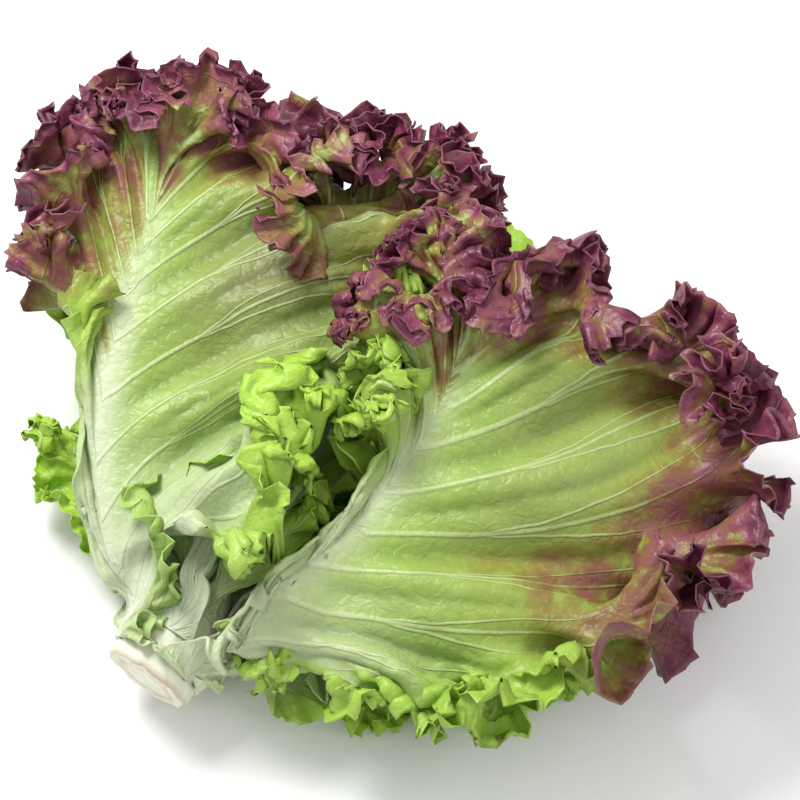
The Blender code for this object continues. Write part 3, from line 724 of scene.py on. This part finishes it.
def leaf_sheet(leaf, lift, ceiling, s, offset):
    """A leaf's sheet as a mesh, with its colour values, and its greatest thickness."""
    place, thick, values = fine_leaf(leaf, lift, ceiling, s)
    stations = kept_stations(place, leaf.looks.stations)
    _, keeps = leaf_rows()
    picks = [(stations[::keep], row) for row, keep in enumerate(keeps)]

    def take(grid):
        return np.concatenate([grid[pick, row] for pick, row in picks])

    mesh = bpy.data.meshes.new(leaf.name + "_sheet")
    faces = sheet_faces([len(pick) for pick, _ in picks])
    mesh.from_pydata(pressed(under_top(take(place) + offset), FLOOR_PRESS).tolist(), [], faces)
    for name, grid in leaf_colour_values(leaf, values).items():
        mesh.attributes.new(name, "FLOAT", "POINT").data.foreach_set("value", take(grid).astype(np.float32))
    bm = bmesh.new()
    bm.from_mesh(mesh)
    weights = bm.verts.layers.deform.verify()
    for v, value in zip(bm.verts, take(thick / thick.max()).tolist()):
        v[weights][0] = value
    bmesh.ops.remove_doubles(bm, verts=bm.verts, dist=2e-6)
    bmesh.ops.dissolve_degenerate(bm, edges=bm.edges, dist=1e-6)
    bm.to_mesh(mesh)
    bm.free()
    return mesh, float(thick.max())


def make_leaf(leaf, build, s):
    """One fine leaf: its sheet thickened on the outer side, in place of the leaf's solid."""
    leaf.foot_half_width *= leaf.foot_gain
    leaf.foot_bend *= leaf.foot_gain
    mesh, most = leaf_sheet(leaf, build.lifts[leaf.name], build.ceilings[leaf.name], s, build.offset)
    sheet = bpy.data.objects.new(leaf.name + "_sheet", mesh)
    bpy.context.scene.collection.objects.link(sheet)
    sheet.vertex_groups.new(name="thickness")
    solidify = sheet.modifiers.new("thickness", "SOLIDIFY")
    solidify.thickness = most
    solidify.offset = 1.0
    solidify.vertex_group = "thickness"
    bpy.context.view_layer.update()
    solid = bpy.data.meshes.new_from_object(sheet.evaluated_get(bpy.context.evaluated_depsgraph_get()))
    bpy.data.objects.remove(sheet)
    corners = np.zeros(len(solid.vertices) * 3)
    solid.vertices.foreach_get("co", corners)
    corners = corners.reshape(-1, 3)
    corners[:, 2] = np.where(corners[:, 2] < FLOOR_PRESS - 1e-6, 0.0, corners[:, 2])
    solid.vertices.foreach_set("co", corners.ravel())
    inner = np.arange(len(corners)) < len(corners) // 2
    solid.attributes.new("inner", "FLOAT", "POINT").data.foreach_set("value", inner.astype(np.float32))
    solid.shade_smooth()
    solid.materials.clear()
    solid.materials.append(build.materials[leaf.looks.slot])
    piece = bpy.data.objects.new("fine_" + leaf.name, solid)
    bpy.context.scene.collection.objects.link(piece)
    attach(piece, "root")
    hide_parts(leaf.name)


def cut_stem_mesh(offset):
    """The stem, from the middle of its cut face over its skin to its end, with how browned each place is."""
    axis, up, left = stem_directions()
    turn = np.linspace(0.0, math.tau, STEM_SIDES, endpoint=False)
    sideways = [left * math.cos(t) + up * math.sin(t) for t in turn]
    profile = [(CUT_RADIUS * k, CUT_DISH * (1 - k)) for k in CUT_RINGS]
    profile += [(float(stem_radius(z)), z) for z in np.linspace(CUT_DISH, STEM_PROFILE[-1][1], STEM_ROWS)]
    bm = bmesh.new()
    rings, browned = [], []
    for radius, along in (*profile, STEM_END):
        scar = SCAR_DEPTH * np.sin(3.0 * turn + along * 260.0) * smooth(0.003, 0.012, along)
        scar = (scar + GROOVE_DEPTH * wander(turn * 5.0 + along * 300.0, 5)) * min(1.0, radius / 0.012)
        near_cut = float(smooth(0.004, 0.0, along))
        rim = CUT_WAVE * near_cut * wander(turn * 3.0, 9) * (radius / 0.018)
        out = radius + scar - STEM_INSET
        rings.append([bm.verts.new(CUT_CENTRE + offset + axis * (along + rim[i]) + out[i] * sideways[i])
                      for i in range(STEM_SIDES)])
        fibres = math.exp(-(((radius - FIBRE_RADIUS) / FIBRE_WIDTH) ** 2)) * 0.5
        browned += [fibres if along < CUT_DISH else 0.6 * near_cut] * STEM_SIDES
    for low, high in zip(rings, rings[1:]):
        for i in range(STEM_SIDES):
            j = (i + 1) % STEM_SIDES
            bm.faces.new((low[i], high[i], high[j], low[j]))
    bm.faces.new(list(reversed(rings[-1])))
    bm.faces.new(rings[0])
    bmesh.ops.recalc_face_normals(bm, faces=bm.faces)
    mesh = bpy.data.meshes.new("cut_stem")
    bm.to_mesh(mesh)
    bm.free()
    mesh.attributes.new("ring", "FLOAT", "POINT").data.foreach_set("value", np.array(browned, np.float32))
    return mesh


# Sizes of the mottling of the stem's flesh and of the board's grain
MOTTLE_SIZE = 0.006
BOARD_GRAIN = 0.004


def add(tree, kind, inputs=None, **settings):
    """Adds a node with its settings. inputs gives sockets, by name or number, values or others' outputs."""
    node = tree.nodes.new(kind)
    for name, value in settings.items():
        setattr(node, name, value)
    for key, value in (inputs or {}).items():
        socket = node.inputs[key]
        if isinstance(value, bpy.types.NodeSocket):
            tree.links.new(value, socket)
        else:
            socket.default_value = (*value, 1.0) if socket.type == "RGBA" else value
    return node


def new_material(name):
    """An empty node material, its tree and its Principled shader."""
    material = bpy.data.materials.new(name)
    material.use_nodes = True
    return material, material.node_tree, material.node_tree.nodes["Principled BSDF"]


def leaf_material(name, s, light, deep):
    """Fresh lettuce leaf: thin, moist and waxy, so it shines softly and lets some light through.

    Its green pales to white-green at the ribs and foot, and goes over yellow, olive and brown to wine red at
    the margin. Its outer face has a dull mauve bloom there, and its inner face is a darker red: partly a
    deeper red of its own and partly painted shade. Between the main veins it is a deeper green, partly its
    own and partly painted shade in the creases, and along the teeth a paler rim is partly the margin's own
    and partly a painted highlight.
    """
    material, tree, shader = new_material(name)
    names = ["red", "lime", "haze", "pale", "edge", "inner", "furrow_green_and_shade", "vein_count", "vein_pace"]
    names += [f"{kind}_{number}" for kind in ("branch", "absent") for number in range(len(BRANCHES))]
    value = {n: add(tree, "ShaderNodeAttribute", attribute_name=n).outputs["Fac"] for n in names}
    place = add(tree, "ShaderNodeTexCoord").outputs["Object"]
    cloud = add(tree, "ShaderNodeTexNoise", {"Vector": place, "Scale": 1 / s.cloud_size, "Detail": 3.0})
    fleck = add(tree, "ShaderNodeTexNoise", {"Vector": place, "Scale": 1 / s.fleck_size, "Detail": 4.0})

    # The net of fine veins: cells about 5 mm across with wandering sides
    bent = add(tree, "ShaderNodeMixRGB", {0: 0.006, 1: place, 2: fleck.outputs["Color"]}, blend_type="ADD")
    net = add(tree, "ShaderNodeTexVoronoi", {"Vector": bent.outputs[0], "Scale": 1 / s.net_size},
              feature="DISTANCE_TO_EDGE")
    lines = add(tree, "ShaderNodeMapRange", {
        "Value": net.outputs["Distance"], "From Max": 0.11, "To Min": 1.0, "To Max": 0.0}).outputs["Result"]

    # Main veins and their branches: how far each place is from the nearest, in widths of a vein
    off = add(tree, "ShaderNodeMath", {0: value["vein_count"], 1: 0.5}, operation="PINGPONG").outputs[0]
    nearest = add(tree, "ShaderNodeMath", {0: off, 1: value["vein_pace"]}, operation="MULTIPLY").outputs[0]
    for number in range(len(BRANCHES)):
        branch, absent = value[f"branch_{number}"], value[f"absent_{number}"]
        side = add(tree, "ShaderNodeMath", {0: off, 1: branch}, operation="SUBTRACT").outputs[0]
        side = add(tree, "ShaderNodeMath", {0: side}, operation="ABSOLUTE").outputs[0]
        side = add(tree, "ShaderNodeMath", {0: side, 1: value["vein_pace"]}, operation="MULTIPLY").outputs[0]
        side = add(tree, "ShaderNodeMath", {0: side, 1: 1.5, 2: absent}, operation="MULTIPLY_ADD").outputs[0]
        nearest = add(tree, "ShaderNodeMath", {0: nearest, 1: side}, operation="MINIMUM").outputs[0]
    vein = add(tree, "ShaderNodeMapRange", {
        "Value": nearest, "From Min": 0.25, "From Max": 1.35, "To Min": 1.0, "To Max": 0.0},
        interpolation_type="SMOOTHSTEP").outputs["Result"]

    # The blade, from its middle green to the colours laid over it, each by a share of its own
    grounds = (
        (cloud.outputs["Fac"], 1.0, linear(deep)),
        # In the creases between the main veins a deeper green, partly the blade's own and partly painted
        # shade; the fine vein net takes the same green
        (value["furrow_green_and_shade"], 0.85, tuple(s.furrow_green_and_shade)),
        (lines, 0.16, tuple(s.furrow_green_and_shade)),
        (value["haze"], 0.75, tuple(s.haze)),
        (value["lime"], 0.95, tuple(s.lime)),
        (vein, 0.55, tuple(s.vein)),
        (value["pale"], 0.95, tuple(s.pale)),
    )
    blade = linear(light)
    for share, strength, colour in grounds:
        share = add(tree, "ShaderNodeMath", {0: share, 1: strength}, operation="MULTIPLY", use_clamp=True)
        blade = add(tree, "ShaderNodeMix", {0: share.outputs[0], 6: blade, 7: colour},
                    data_type="RGBA").outputs[2]

    # The red margin: flecks shift its stages, and the inner face is further on than the outer one and darker,
    # partly a deeper red of its own and partly painted shade
    drift = add(tree, "ShaderNodeMath", {0: fleck.outputs["Fac"], 1: -0.5}, operation="ADD").outputs[0]
    clouds = add(tree, "ShaderNodeMath", {0: cloud.outputs["Fac"], 1: -0.5}, operation="ADD").outputs[0]
    drift = add(tree, "ShaderNodeMath", {0: clouds, 1: 2.3, 2: drift}, operation="MULTIPLY_ADD").outputs[0]
    drift = add(tree, "ShaderNodeMath", {0: drift, 1: 1.25, 2: 0.82}, operation="MULTIPLY_ADD").outputs[0]
    amount = add(tree, "ShaderNodeMath", {0: value["red"], 1: drift}, operation="MULTIPLY",
                 use_clamp=True).outputs[0]
    amount = add(tree, "ShaderNodeMath", {0: vein, 1: -0.16, 2: amount}, operation="MULTIPLY_ADD",
                 use_clamp=True).outputs[0]
    ramp = add(tree, "ShaderNodeValToRGB", {"Fac": amount})
    stops = ((0.0, s.frill_green), (0.13, s.olive), (0.32, s.brown), (0.50, s.mauve), (0.75, s.wine),
             (1.0, s.dark_wine))
    elements = ramp.color_ramp.elements
    while len(elements) < len(stops):
        elements.new(0.5)
    for element, (where, colour) in zip(elements, stops):
        element.position = where
        element.color = (*colour, 1.0)
    blush = add(tree, "ShaderNodeMath", {0: amount, 1: 7.0}, operation="MULTIPLY", use_clamp=True).outputs[0]
    # The inner face is darker: partly its own deeper red and partly painted shade
    deeper = add(tree, "ShaderNodeMix", {0: 0.55, 6: ramp.outputs["Color"], 7: tuple(s.inner_wine_and_shade)},
                 data_type="RGBA").outputs[2]
    inside = add(tree, "ShaderNodeMath", {0: value["inner"], 1: amount}, operation="MULTIPLY").outputs[0]
    frill = add(tree, "ShaderNodeMix", {0: inside, 6: ramp.outputs["Color"], 7: deeper},
                data_type="RGBA").outputs[2]
    # The pale rim along the teeth: partly the margin's own paler edge and partly a painted highlight
    rim = add(tree, "ShaderNodeMath", {0: value["edge"], 1: 0.24}, operation="MULTIPLY").outputs[0]
    frill = add(tree, "ShaderNodeMix", {0: rim, 6: frill, 7: tuple(s.rim)}, data_type="RGBA").outputs[2]
    colour = add(tree, "ShaderNodeMix", {0: blush, 6: blade, 7: frill}, data_type="RGBA").outputs[2]
    tree.links.new(colour, shader.inputs["Base Color"])

    # Roughness and relief: the veins stand up, the blade bulges in the cells of the net and is finely grained
    rough = add(tree, "ShaderNodeMapRange", {"Value": fleck.outputs["Fac"], "To Min": 0.26, "To Max": 0.44})
    tree.links.new(rough.outputs["Result"], shader.inputs["Roughness"])
    cells = add(tree, "ShaderNodeMath", {0: net.outputs["Distance"], 1: 0.25}, operation="MINIMUM").outputs[0]
    relief = add(tree, "ShaderNodeMath", {0: fleck.outputs["Fac"], 1: 0.5, 2: cells},
                 operation="MULTIPLY_ADD")
    relief = add(tree, "ShaderNodeMath", {0: vein, 1: 0.7, 2: relief.outputs[0]}, operation="MULTIPLY_ADD")
    bump = add(tree, "ShaderNodeBump", {"Height": relief.outputs[0], "Strength": 0.6, "Distance": 0.0012})
    tree.links.new(bump.outputs["Normal"], shader.inputs["Normal"])
    shader.inputs["IOR"].default_value = 1.42

    # Light that comes through
    through = add(tree, "ShaderNodeBsdfTranslucent", {"Color": colour, "Normal": bump.outputs["Normal"]})
    both = add(tree, "ShaderNodeMixShader", {0: s.translucency, 1: shader.outputs[0], 2: through.outputs[0]})
    tree.links.new(both.outputs[0], tree.nodes["Material Output"].inputs["Surface"])
    return material


def stem_material():
    """Cut lettuce stem: moist, firm flesh, whitish, with a darker ring of fibres and browned cut edges."""
    material, tree, shader = new_material("lettuce_stem_flesh")
    ring = add(tree, "ShaderNodeAttribute", attribute_name="ring").outputs["Fac"]
    place = add(tree, "ShaderNodeTexCoord").outputs["Object"]
    mottle = add(tree, "ShaderNodeTexNoise", {"Vector": place, "Scale": 1 / MOTTLE_SIZE, "Detail": 4.0})
    mottle = mottle.outputs["Fac"]
    flesh = add(tree, "ShaderNodeMix", {0: mottle, 6: linear("#ECEBDA"), 7: linear("#D3D7BC")},
                data_type="RGBA")
    flesh = add(tree, "ShaderNodeMix", {0: ring, 6: flesh.outputs[2], 7: linear("#B08E72")}, data_type="RGBA")
    tree.links.new(flesh.outputs[2], shader.inputs["Base Color"])
    bump = add(tree, "ShaderNodeBump", {"Height": mottle, "Strength": 0.5, "Distance": 0.0012})
    tree.links.new(bump.outputs["Normal"], shader.inputs["Normal"])
    shader.inputs["Roughness"].default_value = 0.45
    shader.inputs["Subsurface Weight"].default_value = 0.15
    shader.inputs["Subsurface Scale"].default_value = 0.004
    return material


def floor_material():
    """Matt white studio board: it takes the shadow and shows nothing else."""
    material, tree, shader = new_material("matt_white_board")
    place = add(tree, "ShaderNodeTexCoord").outputs["Object"]
    grain = add(tree, "ShaderNodeTexNoise", {"Vector": place, "Scale": 1 / BOARD_GRAIN, "Detail": 2.0})
    board = add(tree, "ShaderNodeMix", {0: grain.outputs["Fac"], 6: linear("#FBFBFB"), 7: linear("#FFFFFF")},
                data_type="RGBA")
    tree.links.new(board.outputs[2], shader.inputs["Base Color"])
    shader.inputs["Roughness"].default_value = 0.9
    shader.inputs["Specular IOR Level"].default_value = 0.1
    return material


def size_property(name, description, default):
    """A length in metres."""
    return bpy.props.FloatProperty(
        name=name, description=description, default=default, subtype="DISTANCE", unit="LENGTH")


def angle_property(name, description, degrees):
    """An angle, given in degrees."""
    return bpy.props.FloatProperty(
        name=name, description=description, default=math.radians(degrees), subtype="ANGLE")


def colour_property(name, description, code):
    """A colour, given as an sRGB hex value."""
    return bpy.props.FloatVectorProperty(
        name=name, description=description, default=linear(code), subtype="COLOR", size=3, min=0.0, max=1.0)


class LettuceLeafSettings(bpy.types.PropertyGroup):
    """The sizes and colours of the leaves."""

    blade_thickness: size_property("Blade thickness", "Thickness of the leaf between its ribs", 0.0005)
    vein_width: size_property("Vein width", "Half the width of a main vein half way out", 0.0011)
    quilt_height: size_property("Quilting", "How far the blade bulges between its veins", 0.0006)
    evening: size_property("Evening", "Length over which the flat leaf is evened before it is folded", 0.0024)
    fold_band: size_property("Fold band", "How far in from the margin the big folds start", 0.062)
    lobe_length: size_property("Lobe length", "Length of a big lobe along the margin", 0.0230)
    lobe_height: size_property("Lobe height", "Height of a big lobe", 0.0045)
    lobe_band: size_property("Lobe band", "How far in from the margin the big lobes start", 0.050)
    curl_length: size_property("Curl length", "Length of a small lobe along the margin", 0.0130)
    curl_height: size_property("Curl height", "Height of a small lobe", 0.0030)
    curl_band: size_property("Curl band", "How far in from the margin the small lobes start", 0.034)
    crimp_length: size_property("Crimp length", "Length of a fine wave along the margin", 0.0095)
    crimp_height: size_property("Crimp height", "Height of a fine wave", 0.0013)
    crimp_band: size_property("Crimp band", "How far in from the margin the fine waves start", 0.013)
    tooth_length: size_property("Tooth spacing", "Distance between the teeth of the margin", 0.0070)
    tooth_height: size_property("Tooth height", "Length of a tooth", 0.0034)
    net_size: size_property("Vein net", "Size of a cell of the vein net", 0.0055)
    cloud_size: size_property("Clouds", "Size of the patches where the green and the red vary", 0.016)
    fleck_size: size_property("Flecks", "Size of the small flecks", 0.0045)
    wave_gain: bpy.props.FloatProperty(
        name="Wave gain", description="Height of the big waves as a share of the solid's", default=0.9,
        subtype="FACTOR")
    fold_lean: angle_property("Fold lean", "How far the whole margin leans outward", 30.0)
    fold_angle: angle_property("Fold angle", "How far a wave's crest folds over", 78.0)
    lobe_angle: angle_property("Lobe angle", "How far a lobe turns up or down", 42.0)
    translucency: bpy.props.FloatProperty(
        name="Translucency", description="Share of the light that passes the leaf", default=0.22,
        subtype="FACTOR")
    pale: colour_property("Rib", "Colour of the ribs and the foot", "#EAF0D6")
    vein: colour_property("Vein", "Colour of the main veins", "#D2DDA4")
    # The deeper green of the creases between the main veins: partly the blade's own colour and partly painted
    # shade
    furrow_green_and_shade: colour_property("Furrow", "Deeper green between the main veins", "#6F8C34")
    lime: colour_property("Lime", "Fresh green of the frill where it is not red", "#B2D850")
    haze: colour_property("Haze", "Brownish bloom on the blade", "#85785A")
    frill_green: colour_property("Frill green", "Green at the start of the red margin", "#AEBB52")
    olive: colour_property("Olive", "Between green and brown", "#9A9A48")
    brown: colour_property("Brown", "Between olive and red", "#94694A")
    mauve: colour_property("Mauve", "Between brown and red", "#96585E")
    wine: colour_property("Wine", "Red of the margin", "#87405A")
    dark_wine: colour_property("Dark wine", "Deepest red of the margin", "#702B46")
    # The inner face's darker red: partly its own deeper red and partly painted shade
    inner_wine_and_shade: colour_property("Inner wine", "Red of the margin's inner face", "#5A1C34")
    # The rim along the teeth: partly the margin's own paler edge and partly a painted highlight
    rim: colour_property("Rim", "Paler colour along the teeth", "#B58490")


class LettuceStageSettings(bpy.types.PropertyGroup):
    """The camera and light."""

    elevation: angle_property("Elevation", "How steeply the camera looks down", 65.0)
    view_width: size_property("View width", "Width of the picture at the head", 0.320)
    lens: bpy.props.FloatProperty(name="Lens", description="Focal length", default=320.0, unit="CAMERA")
    sky: bpy.props.FloatProperty(name="Sky", description="Strength of the even white light", default=0.62)


OUTER_LEAVES = ("leaf_left_outer", "leaf_right_outer", "leaf_centre")
UNDER_LEAVES = (
    "leaf_under_centre",
    "leaf_under_left",
    "leaf_under_right",
    "leaf_inner_left",
    "leaf_inner_right",
)

# Each slot's material, and the light and the deep green of its blade
BLADE_GREENS = {
    "red_tipped_leaf": ("red_lettuce_leaf", "#B2CE6A", "#90B24C"),
    "green_leaf": ("green_lettuce_leaf", "#9CBF4A", "#749C38"),
    "pale_leaf": ("pale_lettuce_leaf", "#B4DA45", "#9CC838"),
}

# The stage: the floor's side and how far it lies under the head, each softbox's place, side and power in
# watts, the point that they face, and the width of the camera's sensor in millimetres
FLOOR_SIDE = 4.0
FLOOR_GAP = 0.0006
SOFTBOXES = (
    ("key_softbox", (-0.5, 0.55, 1.0), 0.55, 17.0),
    ("fill_softbox", (0.9, -0.3, 0.9), 0.9, 4.0),
)
HEAD_MIDDLE = Vector((0.0, 0.0, 0.05))
SENSOR_WIDTH = 36.0


class LettuceBuild:
    """What the leaf operators share: the settled heights, the offset and the materials."""

    lifts = ceilings = offset = None
    materials = None

    @classmethod
    def ready(cls, settings):
        """Works the shared values out once."""
        if cls.lifts is None:
            cls.lifts, cls.ceilings = settle(LEAVES)
            cls.offset = head_offset()
            cls.materials = {slot: leaf_material(name, settings, light, deep)
                             for slot, (name, light, deep) in BLADE_GREENS.items()}
        return cls


def make_leaves(names, settings):
    """The fine leaves with the given names."""
    build = LettuceBuild.ready(settings)
    for leaf in LEAVES:
        if leaf.name in names:
            make_leaf(leaf, build, settings)


class LETTUCE_OT_outer_leaves(bpy.types.Operator):
    """Make the three big leaves with red frills"""

    bl_idname = "lettuce.outer_leaves"
    bl_label = "Outer leaves"

    def execute(self, context):
        make_leaves(OUTER_LEAVES, context.scene.lettuce_leaves)
        return {"FINISHED"}


class LETTUCE_OT_under_leaves(bpy.types.Operator):
    """Make the pale and green leaves that the head lies on"""

    bl_idname = "lettuce.under_leaves"
    bl_label = "Under leaves"

    def execute(self, context):
        make_leaves(UNDER_LEAVES, context.scene.lettuce_leaves)
        return {"FINISHED"}


class LETTUCE_OT_inner_leaves(bpy.types.Operator):
    """Make the green leaves and the small ones of the heart"""

    bl_idname = "lettuce.inner_leaves"
    bl_label = "Inner leaves"

    def execute(self, context):
        names = [leaf.name for leaf in LEAVES if leaf.name not in OUTER_LEAVES + UNDER_LEAVES]
        make_leaves(names, context.scene.lettuce_leaves)
        return {"FINISHED"}


class LETTUCE_OT_stem(bpy.types.Operator):
    """Make the cut stem"""

    bl_idname = "lettuce.stem"
    bl_label = "Cut stem"

    def execute(self, context):
        offset = LettuceBuild.ready(context.scene.lettuce_leaves).offset
        mesh = cut_stem_mesh(offset)
        mesh.shade_smooth()
        mesh.materials.append(stem_material())
        piece = bpy.data.objects.new("cut_stem", mesh)
        context.scene.collection.objects.link(piece)
        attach(piece, "root")
        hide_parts("stem")
        return {"FINISHED"}


class LETTUCE_OT_stage(bpy.types.Operator):
    """Set up the floor, the soft light and the camera"""

    bl_idname = "lettuce.stage"
    bl_label = "Stage"

    def execute(self, context):
        scene = context.scene
        s = scene.lettuce_stage
        bpy.ops.mesh.primitive_plane_add(size=FLOOR_SIDE, location=(0.0, 0.0, -FLOOR_GAP))
        floor = context.active_object
        floor.name = "floor"
        floor.data.materials.append(floor_material())
        world = bpy.data.worlds.new("studio")
        scene.world = world
        world.use_nodes = True
        world.node_tree.nodes["Background"].inputs["Color"].default_value = (1.0, 1.0, 1.0, 1.0)
        world.node_tree.nodes["Background"].inputs["Strength"].default_value = s.sky
        for name, place, size, power in SOFTBOXES:
            light = bpy.data.lights.new(name, "AREA")
            light.shape, light.size, light.energy = "SQUARE", size, power
            lamp = bpy.data.objects.new(name, light)
            lamp.location = place
            lamp.rotation_euler = (HEAD_MIDDLE - Vector(place)).to_track_quat("-Z", "Y").to_euler()
            scene.collection.objects.link(lamp)
        offset = LettuceBuild.ready(scene.lettuce_leaves).offset
        data = bpy.data.cameras.new("camera")
        data.lens, data.sensor_width = s.lens, SENSOR_WIDTH
        camera = bpy.data.objects.new("camera", data)
        target = Vector((float(offset[0]), float(offset[1]), 0.0))
        slope = Vector((0.0, -math.cos(s.elevation), math.sin(s.elevation)))
        camera.location = target + slope * (s.view_width * s.lens / SENSOR_WIDTH)
        camera.rotation_euler = (target - camera.location).to_track_quat("-Z", "Y").to_euler()
        scene.collection.objects.link(camera)
        scene.camera = camera
        scene.view_settings.view_transform = "Standard"
        return {"FINISHED"}


class LETTUCE_PT_panel(bpy.types.Panel):
    """The buttons that build the head"""

    bl_idname = "LETTUCE_PT_panel"
    bl_label = "Red leaf lettuce"
    bl_space_type = "VIEW_3D"
    bl_region_type = "UI"
    bl_category = "Lettuce"

    def draw(self, context):
        for operator in STEPS:
            self.layout.operator(operator.bl_idname)
        for group in (context.scene.lettuce_leaves, context.scene.lettuce_stage):
            for name in group.__annotations__:
                self.layout.prop(group, name)


STEPS = (
    LETTUCE_OT_under_leaves,
    LETTUCE_OT_inner_leaves,
    LETTUCE_OT_outer_leaves,
    LETTUCE_OT_stem,
    LETTUCE_OT_stage,
)
CLASSES = (LettuceLeafSettings, LettuceStageSettings, *STEPS, LETTUCE_PT_panel)


def register():
    """Makes the settings, operators and panel known."""
    for cls in CLASSES:
        bpy.utils.register_class(cls)
    bpy.types.Scene.lettuce_leaves = bpy.props.PointerProperty(type=LettuceLeafSettings)
    bpy.types.Scene.lettuce_stage = bpy.props.PointerProperty(type=LettuceStageSettings)


def unregister():
    """Takes them out again."""
    del bpy.types.Scene.lettuce_stage
    del bpy.types.Scene.lettuce_leaves
    for cls in reversed(CLASSES):
        bpy.utils.unregister_class(cls)


def main():
    """Builds the head."""
    register()
    bpy.ops.lettuce.under_leaves()
    bpy.ops.lettuce.inner_leaves()
    bpy.ops.lettuce.outer_leaves()
    bpy.ops.lettuce.stem()
    bpy.ops.lettuce.stage()


if __name__ == "__main__":
    main()
